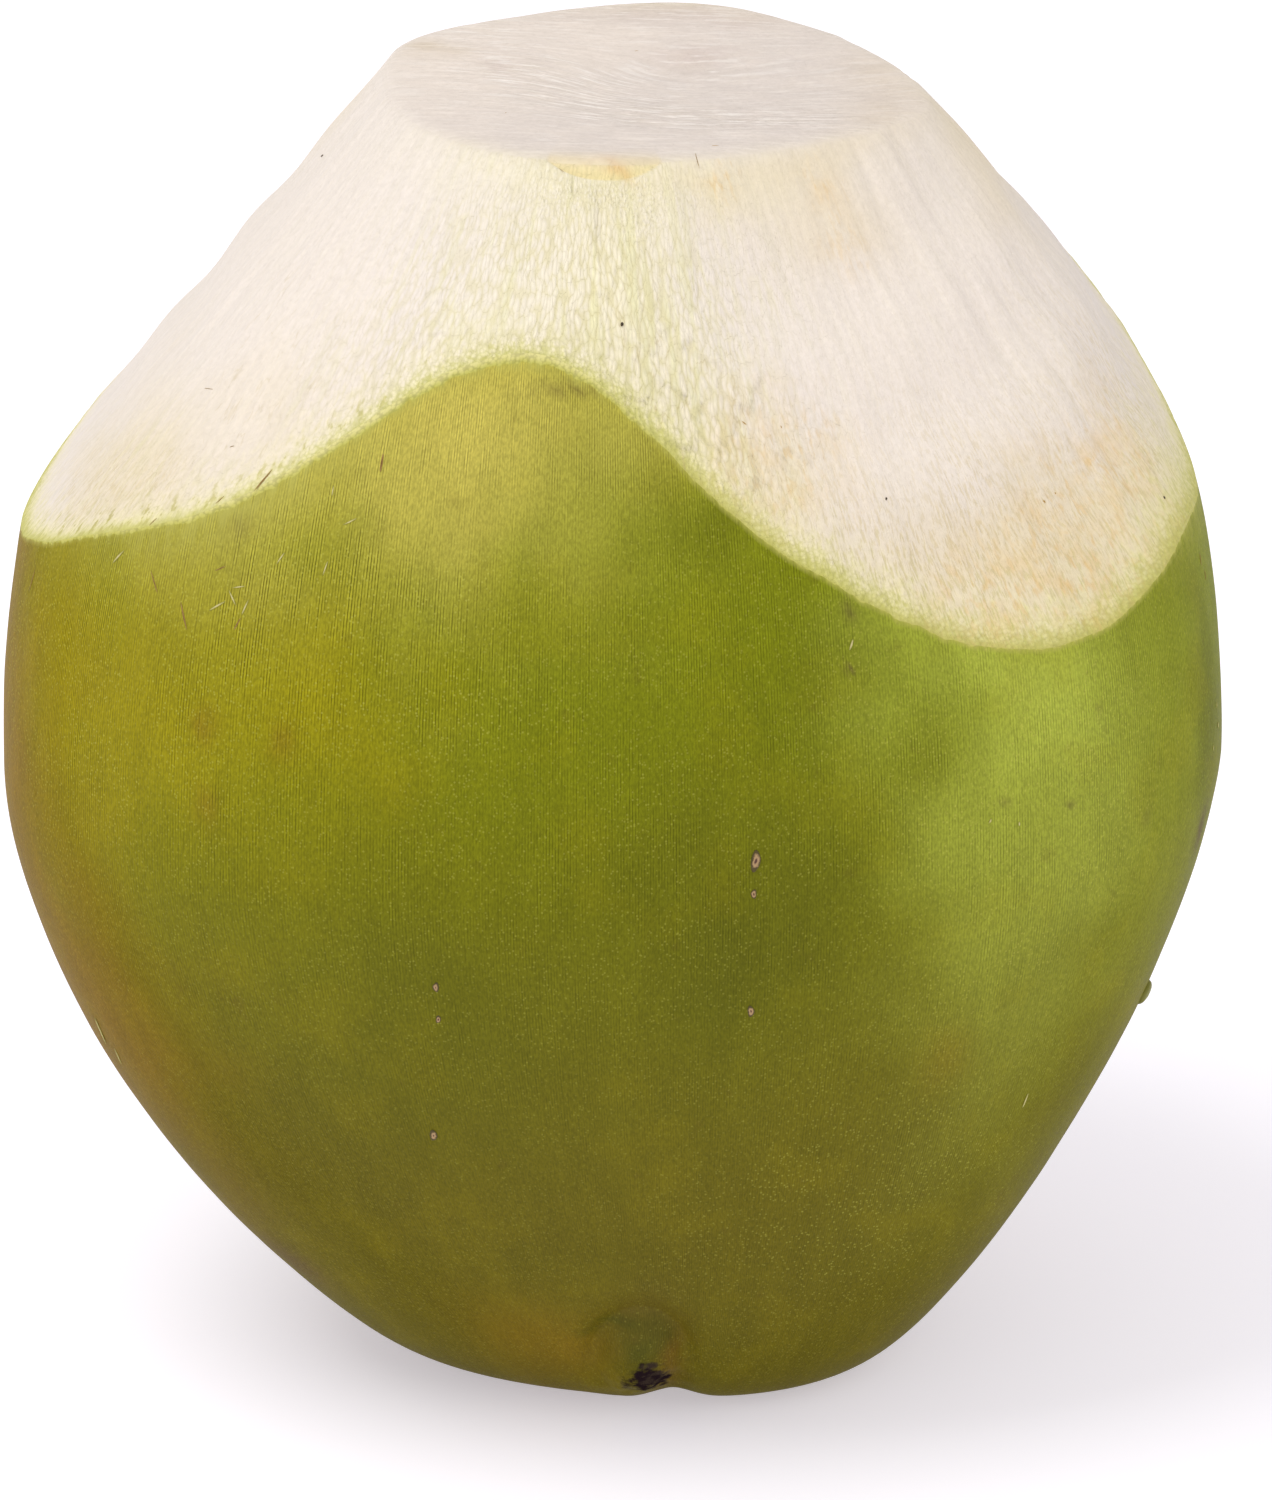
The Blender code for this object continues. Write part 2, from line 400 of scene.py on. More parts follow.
def addToCorners(piece, name, values):    # one number or one vector for each face corner
    kind, field = ("FLOAT", "value") if values.ndim == 1 else ("FLOAT_VECTOR", "vector")
    layer = piece.data.attributes.new(name, kind, "CORNER")
    layer.data.foreach_set(field, values.astype(np.float32).ravel())


def cornersOf(piece):                  # the vertex of each face corner
    corners = np.zeros(len(piece.data.loops), int)
    piece.data.loops.foreach_get("vertex_index", corners)
    return corners


def aroundAt(azimuth, radius, third):  # a place on a ring, and as its third number how far along the fibres
    return np.stack([radius * np.sin(azimuth), -radius * np.cos(azimuth), third], -1)


def polesLevel(points):                # a pole is one point: the mean of its ring
    points[0], points[-1] = points[0].mean(axis=0), points[-1].mean(axis=0)
    return points


skinGrid = polesLevel(np.concatenate([outerSkin, wallPoints(grid["wallRings"], 0)]))
greenSkin, skinRing, skinColumn = bodyOf("greenSkin", skinGrid)
lastSkinRing = len(outerSkin) - 1
markSharp(greenSkin, skinRing, lastSkinRing)
shownRing = np.minimum(skinRing, lastSkinRing)
skinArc = arcLengths(outerSkin)
skinCorners = cornersOf(greenSkin)
skinGrain = aroundAt(azimuths[skinColumn], roundAt["skin"], skinArc[shownRing, skinColumn])
addToCorners(greenSkin, "grain", skinGrain[skinCorners])

# Colour on the skin.
# Each patch: azimuth, height, half width in degrees, half height in millimetres, strength.
skinPaint = {
    "leafFrom": 33, "leafTo": 141,
    "patches": {
        "gold": [
            (-54, 109, 25, 26, 0.72), (-27, 116, 11, 11, 0.46), (-61, 65, 14, 20, 0.15),
            (152, 112, 22, 24, 0.6), (-138, 66, 18, 20, 0.35),
        ],
        "rust": [
            (-79, 95, 18, 52, 0.76), (-63, 58, 16, 25, 0.55), (-10, 12, 16, 11, 0.15),
            (168, 66, 20, 24, 0.4), (120, 30, 24, 14, 0.35),
        ],
        "straw": [
            (-40, 137, 14, 15, 0.38), (-16, 151, 25, 19, 0.88), (-18, 132, 7, 11, 0.26),
            (-60, 134, 12, 9, 0.19), (9, 146, 8, 8, 0.35), (-29, 137, 12, 8, 0.2), (178, 138, 26, 14, 0.6),
            (-118, 132, 16, 10, 0.4),
        ],
        # pale yellow-green skin; the patches on the right front also hold a painted sheen
        "limeAndSheen": [
            (45, 110, 13, 21, 0.79), (43, 107, 6, 9, 0.15), (55, 86, 8, 14, 0.22), (47, 78, 13, 21, 0.31),
            (69, 99, 11, 35, 0.26), (50, 47, 14, 22, 0.11), (35, 124, 7, 12, 0.33),
            (112, 104, 17, 26, 0.45), (-158, 98, 16, 22, 0.5),
        ],
        "moss": [
            (15, 84, 10, 17, 0.68), (24, 116, 5, 7, 0.2), (17, 115, 17, 13, 0.12), (13, 137, 7, 8, 0.35),
            (-15, 75, 16, 19, 0.37), (72, 94, 5, 22, 0.47), (134, 74, 11, 20, 0.5),
            (-122, 84, 10, 20, 0.45), (-172, 58, 14, 16, 0.4),
        ],
    },
    "patchWaver": (5.0, 15.0),    # how far their borders waver, and over which size
    "marks": {
        "honey": [
            (-4, 13, 7, 6, 0.55), (-14, 15, 8, 7, 0.4), (38, 60, 3, 5, 0.3), (-39, 107.7, 1.3, 2.5, 0.6),
            (-31, 107, 1.3, 2.5, 0.5), (-38.5, 97, 1.2, 2.5, 0.5), (-72, 96, 5, 9, 0.4),
            (-70, 78, 4, 8, 0.35),
        ],
        "tan": [(12, 12, 2.4, 6, 0.8), (13, 6, 3, 3, 0.5)],
        # bottle green: dark green on the boss, and painted shade along the crease of the fold over it
        "bottleAndCreaseShade": [
            (7, 13.5, 3.2, 4.5, 0.85), (4, 18.3, 5, 1.0, 0.9), (-1.5, 16.5, 2.2, 1.0, 0.5),
            (10.5, 16.5, 2.0, 1.4, 0.5),
        ],
        "bruise": [
            (73, 79.0, 1.6, 3.2, 0.75), (-51.6, 19.6, 6, 4, 0.6), (27, 123.4, 0.8, 1.0, 0.5),
            (26.8, 116, 0.45, 0.6, 0.8), (53.8, 104.3, 0.4, 0.5, 0.8), (49.7, 93.2, 0.4, 0.5, 0.7),
            (42.3, 95.4, 0.6, 0.7, 0.4), (60, 87.2, 0.5, 0.8, 0.5), (-37, 137.5, 1.0, 1.0, 0.5),
            (-38, 133, 1.4, 1.8, 0.35), (-3, 151.3, 4.5, 0.7, 0.5), (7, 20, 5, 6, 0.25),
            (-150, 96, 1.2, 1.6, 0.5), (116, 60, 1.5, 1.2, 0.5),
        ],
        "scar": [
            (8, 9, 2.5, 3.3, 0.9), (8.8, 7.2, 2.4, 3.0, 1.0), (12, 6.2, 1.9, 2.2, 0.9),
            (5, 6.5, 1.6, 2.0, 0.5),
        ],
    },
    "markWaver": (0.6, 2.5),
    # where its lines and flecks stand out
    "coarse": [
        (-32, 126, 24, 16, 1.0), (-60, 108, 16, 20, 0.8), (46, 92, 14, 28, 0.6), (36, 38, 22, 23, 1.0),
        (170, 110, 40, 30, 0.8),
    ],
    "coarseWaver": (5.0, 12.0),
    # where the cut runs out softly: azimuth, half width, strength
    "softEdges": [(-40, 15, 1.0), (78, 12, 0.7), (150, 30, 0.6)],
    "softEdgeLength": 3.0, "crispEdgeLength": 0.15,
    # the rind that the knife bared above the green: azimuth, width in millimetres
    "bareWidths": [
        (-180, 0.3), (-160, 0.8), (-135, 0.2), (-66, 0.2), (-60, 0.4), (-50, 0.5), (-41, 0.9), (-33, 1.3),
        (-25, 1.4), (-17, 1.2), (-9.5, 1.3), (-2, 1.2), (3, 0.8), (9, 0.1), (60, 0.1), (100, 0.3),
        (180, 0.3),
    ],
    "bareRagged": 0.25, "bareRaggedSize": 2.0, "bareRaggedFrom": (0.1, 0.8),
    "strands": 1200,
}


def strandNumbers(piece, corners, column, strands):    # counted round the fruit, whole across the seam
    firstCorner = np.zeros(len(piece.data.polygons), int)
    piece.data.polygons.foreach_get("loop_start", firstCorner)
    turns = azimuths[column[corners]] / (2 * math.pi)
    lowest, highest = np.minimum.reduceat(turns, firstCorner), np.maximum.reduceat(turns, firstCorner)
    sizes = np.diff(np.append(firstCorner, len(corners)))
    crosses = np.repeat(highest - lowest > 0.5, sizes)
    return np.where(crosses & (turns < 0.5), turns + 1, turns) * strands


def paint(piece, table, across, up, points, waver, seed):    # one set of values for each colour
    for number, (colour, patches) in enumerate(table.items()):
        addValues(piece, colour, patchMask(across, up, points, patches, *waver, seed + 2 * number))


skinShown = skinGrid[shownRing, skinColumn]
skinPlace = azimuthOf(skinShown), skinShown[:, 2], skinShown
paint(greenSkin, skinPaint["patches"], *skinPlace, skinPaint["patchWaver"], 30)
paint(greenSkin, skinPaint["marks"], *skinPlace, skinPaint["markWaver"], 80)
paint(greenSkin, {"coarse": skinPaint["coarse"]}, *skinPlace, skinPaint["coarseWaver"], 96)
addValues(greenSkin, "leaf", ease(skinShown[:, 2], skinPaint["leafFrom"], skinPaint["leafTo"]))
bareWidths = np.interp(turn(azimuths, 0), *zip(*skinPaint["bareWidths"]))
bareRind = bareWidths[skinColumn]
ragged = skinPaint["bareRagged"] * softNoise(skinShown, skinPaint["bareRaggedSize"], 44, 2)
ragged = ragged * ease(bareRind, *skinPaint["bareRaggedFrom"])
bareRind = bareRind + ragged - skinToEdge[shownRing, skinColumn]
addValues(greenSkin, "bareRind", bareRind)
softShare = bells(azimuths[skinColumn], skinPaint["softEdges"])
belowBare = np.maximum(-bareRind, 0)
edgeFade = softShare * np.exp(-belowBare / skinPaint["softEdgeLength"])
edgeFade = edgeFade + (1 - softShare) * np.exp(-belowBare / skinPaint["crispEdgeLength"])
addValues(greenSkin, "edgeFade", np.clip(edgeFade, 0, 1))
strands = strandNumbers(greenSkin, skinCorners, skinColumn, skinPaint["strands"])
addToCorners(greenSkin, "strand", strands)
print("green skin:", len(greenSkin.data.polygons), "faces")

# The pared husk: the cone of knife strokes and the disc, closed below under the skin.
huskShape = {
    "gapUnderSkin": 0.25,
    "rippleDepth": 0.35,
    "rippleLength": 21.0,
    "rippleRise": 1.6,
    "rippleBend": 9.0,
    "rippleTurns": 2.3,
    "rippleTowards": 0.8,
    "streakDepth": 0.16,
    "streakWidth": 4.5,
    "streakLength": 34.0,
    "furrowed": [(62, 16, 2.0), (100, 14, 1.5), (-64, 14, 0.8)],    # where they are deeper
    "plateDepth": 0.42,
    "plateWidth": 2.1,
    "plateLength": 7.0,
    "plateBend": 0.3,
    "calmNearRim": 1.5,
    "calmNearEdge": 0.8,
    # where the knife lifted plates, tore flakes and left grains: as the skin's patches
    "platy": [
        (10, 151, 9, 9, 1.0), (3, 160, 8, 8, 0.5), (20, 144, 7, 6, 1.0), (-40, 141, 10, 5, 0.5),
        (-52, 150, 14, 12, 0.5), (-22, 158, 7, 9, 0.5), (176, 150, 18, 12, 0.9),
    ],
    "torn": [
        (0, 160, 18, 20, 1.0), (12, 148, 11, 12, 0.9), (-24, 154, 12, 12, 0.6), (-50, 133, 20, 5, 0.4),
        (176, 156, 24, 16, 0.8),
    ],
    "grainyReach": 3.6,
    "grainyLess": [(-58, 22, 0.75)],    # how much less along the cut edge: azimuth, half width, share
    "grainy": [(2, 172, 18, 3.5, 0.9), (80, 128, 8, 12, 0.4)],
    # short upright fibres, cut like velvet
    "combed": [
        (46, 124, 30, 14, 1.0), (80, 132, 12, 16, 0.7), (20, 139, 8, 8, 0.5), (-58, 126, 24, 7, 1.0),
        (-150, 140, 26, 14, 0.8),
    ],
    # how far the borders of these places waver, over which size, and the noise's seed
    "wavers": {
        "torn": (5.0, 8.0, 50), "platy": (4.0, 7.0, 52), "grainy": (4.0, 6.0, 54), "combed": (4.0, 8.0, 58),
    },
    "elsewhere": {"torn": 0.05, "combed": 0.10},
    "granuleDepth": 0.10,
    "granuleSize": 1.5,
    # where the yellow rind beside the skin is wider, and where short dark dashes lie in it
    "rindWidening": [(-58, 16, -0.35), (-8, 14, -0.4), (50, 16, 0.35), (78, 14, 1.3), (150, 30, 0.6)],
    "dashed": [(-58, 17, 1.0), (-26, 14, 0.5)], "dashedMiddle": 2.2, "dashedReach": 2.0,
    "notchX": -1.2, "notchHalfWidth": 7.6, "notchHeight": 2.9, "notchDepth": 0.55,
    "notchFullness": 2.6, "notchSoftness": 0.5,
}


def coneRings():
    share = np.linspace(0, 1, grid["coneRings"] + 1)
    return (1 - grid["coneBias"]) * share + grid["coneBias"] * (1 - np.cos(math.pi * share)) / 2


def conePoints():
    share = coneRings()[:, None] * np.ones(columns)
    elevation = edgeElevation + (rimElevation - edgeElevation) * share
    azimuth = azimuths[None, :] * np.ones_like(elevation)
    radius = huskRadius(elevation, azimuth, wobbles)
    points = leaned(elevation, azimuth, radius)
    return points, elevation, azimuth, share


def distanceFrom(line, points):        # millimetres from each point to a line of points
    tree = KDTree(len(line))
    for index, point in enumerate(line):
        tree.insert(point, index)
    tree.balance()
    found = [tree.find(point)[2] for point in points.reshape(-1, 3)]
    return np.array(found).reshape(points.shape[:-1])


def coneRelief(elevation, azimuth, share, fromRim, fromSkin, platy, grainy):
    along = np.degrees(elevation) * huskShape["rippleRise"]
    along = along + huskShape["rippleBend"] * np.sin(huskShape["rippleTurns"] * azimuth)
    wave = np.sin(2 * math.pi * along / huskShape["rippleLength"])
    wave = wave * np.cos(azimuth - huskShape["rippleTowards"])
    ripple = huskShape["rippleDepth"] * 4 * share * (1 - share) * wave
    around = aroundAt(azimuth, roundAt["cone"], fromRim)
    streakSize = (huskShape["streakWidth"], huskShape["streakWidth"], huskShape["streakLength"])
    furrowed = 1 + bells(azimuth, huskShape["furrowed"])
    streaks = huskShape["streakDepth"] * furrowed * softNoise(around / streakSize, 1, 6, 3)
    plateSize = np.array((huskShape["plateWidth"], huskShape["plateWidth"], huskShape["plateLength"]))
    bend = np.stack([softNoise(around, size, seed) for size, seed in ((2.5, 8), (2.5, 9), (4, 10))], -1)
    bent = around / plateSize + huskShape["plateBend"] * bend
    plates = bent[..., 2] - cellCentres(bent, 20)[..., 2]    # grows downhill: the lower ends stand up
    plates = plates * platy * huskShape["plateDepth"]
    granules = huskShape["granuleDepth"] * grainy * softNoise(around, huskShape["granuleSize"], 11, 1)
    fade = ease(fromRim, 0, huskShape["calmNearRim"]) * ease(fromSkin, 0, huskShape["calmNearEdge"])
    return ripple + (streaks + plates + granules) * fade


def discPoints():
    share = np.linspace(0, 1, grid["discRings"] + 1)[1:, None] * np.ones(columns)
    elevation = rimElevation + (quarter - rimElevation) * share
    azimuth = azimuths[None, :] * np.ones_like(elevation)
    return leaned(elevation, azimuth, discRadius(elevation, azimuth))


# Fibres run across the disc from left to right and sag in a swirl near its middle.
discShape = {
    "swirlX": 8.0, "swirlY": -6.0, "swirlSag": 15.0,
    "swirlLeft": 14.0, "swirlRight": 40.0, "swirlHalfDepth": 16.0,
    "fibreDepth": 0.14, "fibreSpacing": 2.2, "fibreStretch": 12.0,
    "lumpShare": 0.6, "lumpSize": 5.0, "calmShare": 0.25, "calmNearRim": 3.0,
    "dish": (-1.2, 12.0, 7.0, 10.0, 0.35),    # its middle, half width, half depth, how deep
    # where its fibres stand up: x, y, half width, half depth, strength
    "torn": [
        (-12, 1, 7, 8, 0.9), (-6, -9, 8, 7, 0.9), (3, -17, 8, 6, 0.9), (12, -20, 9, 5, 0.8),
        (22, -20, 9, 4, 0.5), (0, 34, 18, 8, 0.5), (10, 4, 7, 7, 0.5), (-20, 20, 8, 8, 0.5),
    ],
    "tornWaver": (2.0, 5.0), "tornElsewhere": 0.25,
    "rimRounding": 0.6, "rimWear": 0.414,
    # how its colour runs out at the rim: millimetres on the disc and on the cone, and the shares there
    "blend": 1.7, "blendOnCone": 0.85, "rimShare": 0.55, "coneShare": 0.45,
}


def fibreLine(x, y):                   # the same number all along one fibre
    halfWidth = np.where(x < discShape["swirlX"], discShape["swirlLeft"], discShape["swirlRight"])
    sag = discShape["swirlSag"] * bell(x - discShape["swirlX"], halfWidth)
    return y + sag * bell(y - discShape["swirlY"], discShape["swirlHalfDepth"])


def discRelief(points, torn):
    x, y = points[..., 0], points[..., 1]
    along = np.stack([x / discShape["fibreStretch"], fibreLine(x, y), np.zeros_like(x)], -1)
    bundles = softNoise(along, discShape["fibreSpacing"], 12, 2)
    lumps = discShape["lumpShare"] * softNoise(points, discShape["lumpSize"], 13, 2)
    fade = ease(discFromRim, 0, discShape["calmNearRim"])
    middleX, middleY, halfWidth, halfDepth, deep = discShape["dish"]
    aside = (x + centring[0] - middleX) / halfWidth
    behind = (y + centring[1] - middleY) / halfDepth
    dish = deep * bell(np.hypot(aside, behind), 1)
    return (discShape["fibreDepth"] * (bundles + lumps) * (discShape["calmShare"] + torn) - dish) * fade


def roundedRim(fromRim):               # how far the rim is worn down at a distance from it
    return discShape["rimWear"] * np.exp(-fromRim / discShape["rimRounding"])


def reachingElsewhere(mask, elsewhere):    # a mask that is never less than a small share
    return elsewhere + (1 - elsewhere) * mask


cone, coneElevation, coneAzimuth, coneShare = conePoints()
coneArc = arcLengths(cone)
fromRim = coneArc[-1] - coneArc
coneNormals = gridNormals(cone)
fromSkin = distanceFrom(cone[0], cone)
torn, platy, grainy, combed = (
    patchMask(np.degrees(coneAzimuth), cone[..., 2], cone, huskShape[kind], *waver)
    for kind, waver in huskShape["wavers"].items())
torn = reachingElsewhere(torn, huskShape["elsewhere"]["torn"])
combed = reachingElsewhere(combed, huskShape["elsewhere"]["combed"])
grainyEdge = bell(fromSkin, huskShape["grainyReach"]) * (1 - bells(coneAzimuth, huskShape["grainyLess"]))
grainy = np.maximum(grainy, grainyEdge)
coneHeights = coneRelief(coneElevation, coneAzimuth, coneShare, fromRim, fromSkin, platy, grainy)
notchAcross = (cone[..., 0] - huskShape["notchX"] + centring[0]) / huskShape["notchHalfWidth"]
notchLow = huskShape["notchHeight"] * (1 - np.abs(notchAcross) ** huskShape["notchFullness"])
inNotch = ease(notchLow - fromRim, 0, huskShape["notchSoftness"])
inNotch = inNotch * (cone[..., 1] < 0) * (np.abs(notchAcross) < 1)
coneHeights = coneHeights * (1 - inNotch) - huskShape["notchDepth"] * inNotch
cone = cone + coneNormals * coneHeights[..., None]
disc = discPoints()
discFromRim = np.linalg.norm(disc - cone[-1], axis=-1)
discX, discY = disc[..., 0] + centring[0], disc[..., 1] + centring[1]
discTorn = patchMask(discX, discY, disc, discShape["torn"], *discShape["tornWaver"], 56)
discTorn = reachingElsewhere(discTorn, discShape["tornElsewhere"])
disc[..., 2] += discRelief(disc, discTorn) - roundedRim(discFromRim)
cone = cone + (coneNormals + (0, 0, 1)) / 2 * -roundedRim(fromRim)[..., None]
hidden = wallPoints(grid["hiddenRings"], huskShape["gapUnderSkin"])[::-1]
huskGrid = polesLevel(np.concatenate([hidden, cone, disc]))
paredHusk, huskRing, huskColumn = bodyOf("paredHusk", huskGrid)
firstConeRing = len(hidden)
rimRing = firstConeRing + len(cone) - 1
markSharp(paredHusk, huskRing, firstConeRing)
coneIndex = np.clip(huskRing - firstConeRing, 0, len(cone) - 1)
widening = 1 + bells(azimuths, huskShape["rindWidening"])
dashed = bell(fromSkin - huskShape["dashedMiddle"], huskShape["dashedReach"])
dashed = dashed * bells(coneAzimuth, huskShape["dashed"])
coneValues = {
    "fromSkin": fromSkin / widening + bareWidths, "dashed": dashed, "grainy": grainy, "notch": inNotch,
    "platy": platy, "combed": combed,
}
for name, values in coneValues.items():
    addValues(paredHusk, name, values[coneIndex, huskColumn])
discIndex = np.clip(huskRing - rimRing - 1, 0, len(disc) - 1)
isDisc = huskRing > rimRing
addValues(paredHusk, "torn", np.where(isDisc, discTorn[discIndex, huskColumn], torn[coneIndex, huskColumn]))
discSide = 1 - discShape["rimShare"] * np.exp(-discFromRim[discIndex, huskColumn] / discShape["blend"])
coneSide = discShape["coneShare"] * np.exp(-fromRim[coneIndex, huskColumn] / discShape["blendOnCone"])
addValues(paredHusk, "discShare", np.where(isDisc, discSide, coneSide))
print("pared husk:", len(paredHusk.data.polygons), "faces")

huskCorners = cornersOf(paredHusk)
faceOfCorner = np.repeat(np.arange(len(paredHusk.data.polygons)),
                         [len(face.vertices) for face in paredHusk.data.polygons])
lowestRing = np.full(len(paredHusk.data.polygons), 10**6)
np.minimum.at(lowestRing, faceOfCorner, huskRing[huskCorners])
onDisc = (lowestRing[faceOfCorner] >= rimRing).astype(float)
huskPlace = (huskGrid[huskRing, huskColumn] + centring)[huskCorners]
coneGrain = aroundAt(azimuths[huskColumn], roundAt["cone"], -fromRim[coneIndex, huskColumn])[huskCorners]
discLine = fibreLine(huskPlace[:, 0], huskPlace[:, 1]) + 200    # far from the cone's own places
discGrain = np.stack([discLine, np.zeros_like(discLine), huskPlace[:, 0]], -1)
addToCorners(paredHusk, "grain", coneGrain * (1 - onDisc[:, None]) + discGrain * onDisc[:, None])
addToCorners(paredHusk, "onDisc", onDisc)

# Colour on the husk. Patches on the cone are placed as on the skin.
# Those on the disc are placed by x and y in millimetres.
huskPaint = {
    "cone": {
        "rosy": [
            (38, 148, 32, 26, 0.97), (70, 156, 18, 16, 0.5), (-50, 152, 30, 22, 0.45),
            (-150, 150, 30, 16, 0.5),
        ],
        "cream": [
            (2, 174, 34, 5, 0.85), (2, 160, 12, 16, 0.85), (8, 146, 11, 12, 0.6), (-14, 158, 10, 10, 0.45),
            (170, 160, 24, 16, 0.6),
        ],
        "wheat": [
            (42, 167, 14, 7, 0.35), (50, 124, 30, 11, 0.45), (18, 138, 8, 8, 0.35), (18, 171, 10, 3, 0.3),
            (48, 114, 36, 11, 0.8), (46, 173, 26, 2.5, 0.35), (70, 124, 14, 10, 0.5),
            (-57, 133, 18, 8, 0.45), (-38, 146, 10, 8, 0.25), (22, 136, 8, 7, 0.4), (84, 168, 10, 8, 0.3),
            (-60, 128, 22, 4, 0.2), (100, 165, 20, 8, 0.4), (-120, 166, 20, 6, 0.35),
        ],
        "orange": [
            (0.5, 173.3, 4.0, 0.9, 0.9), (23, 170.3, 4, 2.0, 0.7), (46.5, 169, 4, 2.2, 0.55),
            (46, 163.5, 5, 3.2, 0.4), (56, 124, 9, 6, 1.0), (44, 122, 9, 6, 0.8), (64, 130, 6, 5, 0.8),
            (23, 140, 8, 6, 0.6), (72, 132, 5, 9, 0.5),
        ],
    },
    "disc": {
        "discPale": [
            (-22, 2, 15, 26, 1.0), (-8, 22, 26, 14, 0.5), (-1.5, 11, 7, 12, 0.8), (-3, 21, 9, 3, 0.6),
        ],
        "discRose": [(10, 9, 6, 6, 0.7), (12, 30, 20, 6, 0.5), (-13, 2, 3, 7, 0.5)],
        "discTan": [
            (12, 42, 60, 10, 0.9), (40, 4, 9, 34, 0.55), (4, -41, 36, 3, 0.45), (-27, 10, 4, 5, 0.9),
            (-21, -34, 4, 3, 0.7), (37, -18, 4, 5, 0.5),
        ],
    },
    "waver": (3.0, 9.0),
}
huskShown = huskGrid[huskRing, huskColumn]
huskMoved = huskShown + centring
conePlace = azimuthOf(huskShown), huskShown[:, 2], huskShown
discPlace = huskMoved[:, 0], huskMoved[:, 1], huskMoved
paint(paredHusk, huskPaint["cone"], *conePlace, huskPaint["waver"], 60)
paint(paredHusk, huskPaint["disc"], *discPlace, huskPaint["waver"], 70)
print("colours painted")

# Materials. Each helper adds its node to tree, the node tree that is being built.
tree = None


def put(value, socket):                # links an output, or sets a constant on the socket itself
    if isinstance(value, bpy.types.NodeSocket):
        tree.links.new(value, socket)
    else:
        socket.default_value = (*value, 1) if socket.type == "RGBA" else value


def newNode(kind, inputs={}, **settings):
    made = tree.nodes.new(kind)
    for setting, value in settings.items():
        setattr(made, setting, value)
    for socket, value in inputs.items():
        put(value, made.inputs[socket])
    return made


def mathOf(operation, first, second=0.0, clamp=False):
    return newNode("ShaderNodeMath", {0: first, 1: second}, operation=operation, use_clamp=clamp).outputs[0]


def times(first, *others):
    for other in others:
        first = mathOf("MULTIPLY", first, other)
    return first


def plus(first, second):
    return mathOf("ADD", first, second)


def minus(first, second, clamp=False):
    return mathOf("SUBTRACT", first, second, clamp)


def larger(first, second):
    return mathOf("MAXIMUM", first, second)


def scaled(vector, factor):            # a place or a colour, times a number
    return newNode("ShaderNodeVectorMath", {0: vector, 3: factor}, operation="SCALE").outputs[0]


def mixColours(share, first, second):
    return newNode("ShaderNodeMix", {0: share, 6: first, 7: second}, data_type="RGBA").outputs[2]


def plainMaterial(name, colour, roughness):    # a material and its shader's inputs
    global tree
    material = bpy.data.materials.new(name)
    material.use_nodes = True
    tree = material.node_tree
    surface = tree.nodes["Principled BSDF"].inputs
    put(colour, surface["Base Color"])
    put(roughness, surface["Roughness"])
    return material, surface


def attributeOf(name, output="Fac"):   # what the piece holds under this name
    return newNode("ShaderNodeAttribute", attribute_name=name).outputs[output]


def millimetrePlace():                 # the place on the piece, in millimetres
    return scaled(newNode("ShaderNodeTexCoord").outputs["Object"], 1000)


def stretchedBy(vector, sizes):        # a place, counted in cells of the given sizes
    cells = tuple(1 / size for size in sizes)
    return newNode("ShaderNodeVectorMath", {0: vector, 1: cells}, operation="MULTIPLY").outputs[0]


def cellsOf(vector):                   # random cells, one in each unit of the place
    return newNode("ShaderNodeTexVoronoi", {"Vector": vector, "Scale": 1.0, "Randomness": 1.0}).outputs


def noiseOf(vector, size, detail, roughness=0.5):
    inputs = {"Vector": vector, "Scale": 1 / size, "Detail": detail, "Roughness": roughness}
    return newNode("ShaderNodeTexNoise", inputs).outputs[0]


def rangeOf(value, fromLow, fromHigh, toLow=0.0, toHigh=1.0):
    inputs = {"Value": value, "From Min": fromLow, "From Max": fromHigh, "To Min": toLow, "To Max": toHigh}
    return newNode("ShaderNodeMapRange", inputs, interpolation_type="SMOOTHSTEP").outputs[0]


def bumpOf(height, distance):          # the distance is in millimetres
    inputs = {"Height": height, "Distance": distance * mm, "Strength": 1.0}
    return newNode("ShaderNodeBump", inputs).outputs[0]


def effectGroup(name, inputs):         # a shader node group with a place and named numbers, giving one mask
    global tree
    tree = bpy.data.node_groups.new(name, "ShaderNodeTree")
    tree.interface.new_socket("Place", in_out="INPUT", socket_type="NodeSocketVector")
    for label, value in inputs.items():
        socket = tree.interface.new_socket(label, in_out="INPUT", socket_type="NodeSocketFloat")
        socket.default_value = value
    tree.interface.new_socket("Mask", in_out="OUTPUT", socket_type="NodeSocketFloat")
    return tree, newNode("NodeGroupInput").outputs, newNode("NodeGroupOutput").inputs["Mask"]


def effectOf(group, place, **values):  # one use of a group, with its own values
    return newNode("ShaderNodeGroup", {"Place": place, **values}, node_tree=group).outputs["Mask"]


# Soft cloudy patches: the share of the surface above a level of noise.
cloudGroup, given, mask = effectGroup("softClouds", {"Size": 10.0, "Low": 0.45, "High": 0.65})
scale = mathOf("DIVIDE", 1.0, given["Size"])
cloud = newNode("ShaderNodeTexNoise", {"Vector": given["Place"], "Scale": scale, "Detail": 3.0}).outputs[0]
put(rangeOf(cloud, given["Low"], given["High"]), mask)

# Fibre streaks: noise drawn out along the third axis of the place.
streakGroup, given, mask = effectGroup("fibreStreaks", {"Width": 1.0, "Length": 20.0, "Detail": 2.0})
across = mathOf("DIVIDE", 1.0, given["Width"])
along = mathOf("DIVIDE", 1.0, given["Length"])
cells = newNode("ShaderNodeCombineXYZ", {0: across, 1: across, 2: along}).outputs[0]
drawn = newNode("ShaderNodeVectorMath", {0: given["Place"], 1: cells}, operation="MULTIPLY").outputs[0]
streak = newNode("ShaderNodeTexNoise", {"Vector": drawn, "Scale": 1.0, "Detail": given["Detail"]})
put(streak.outputs[0], mask)

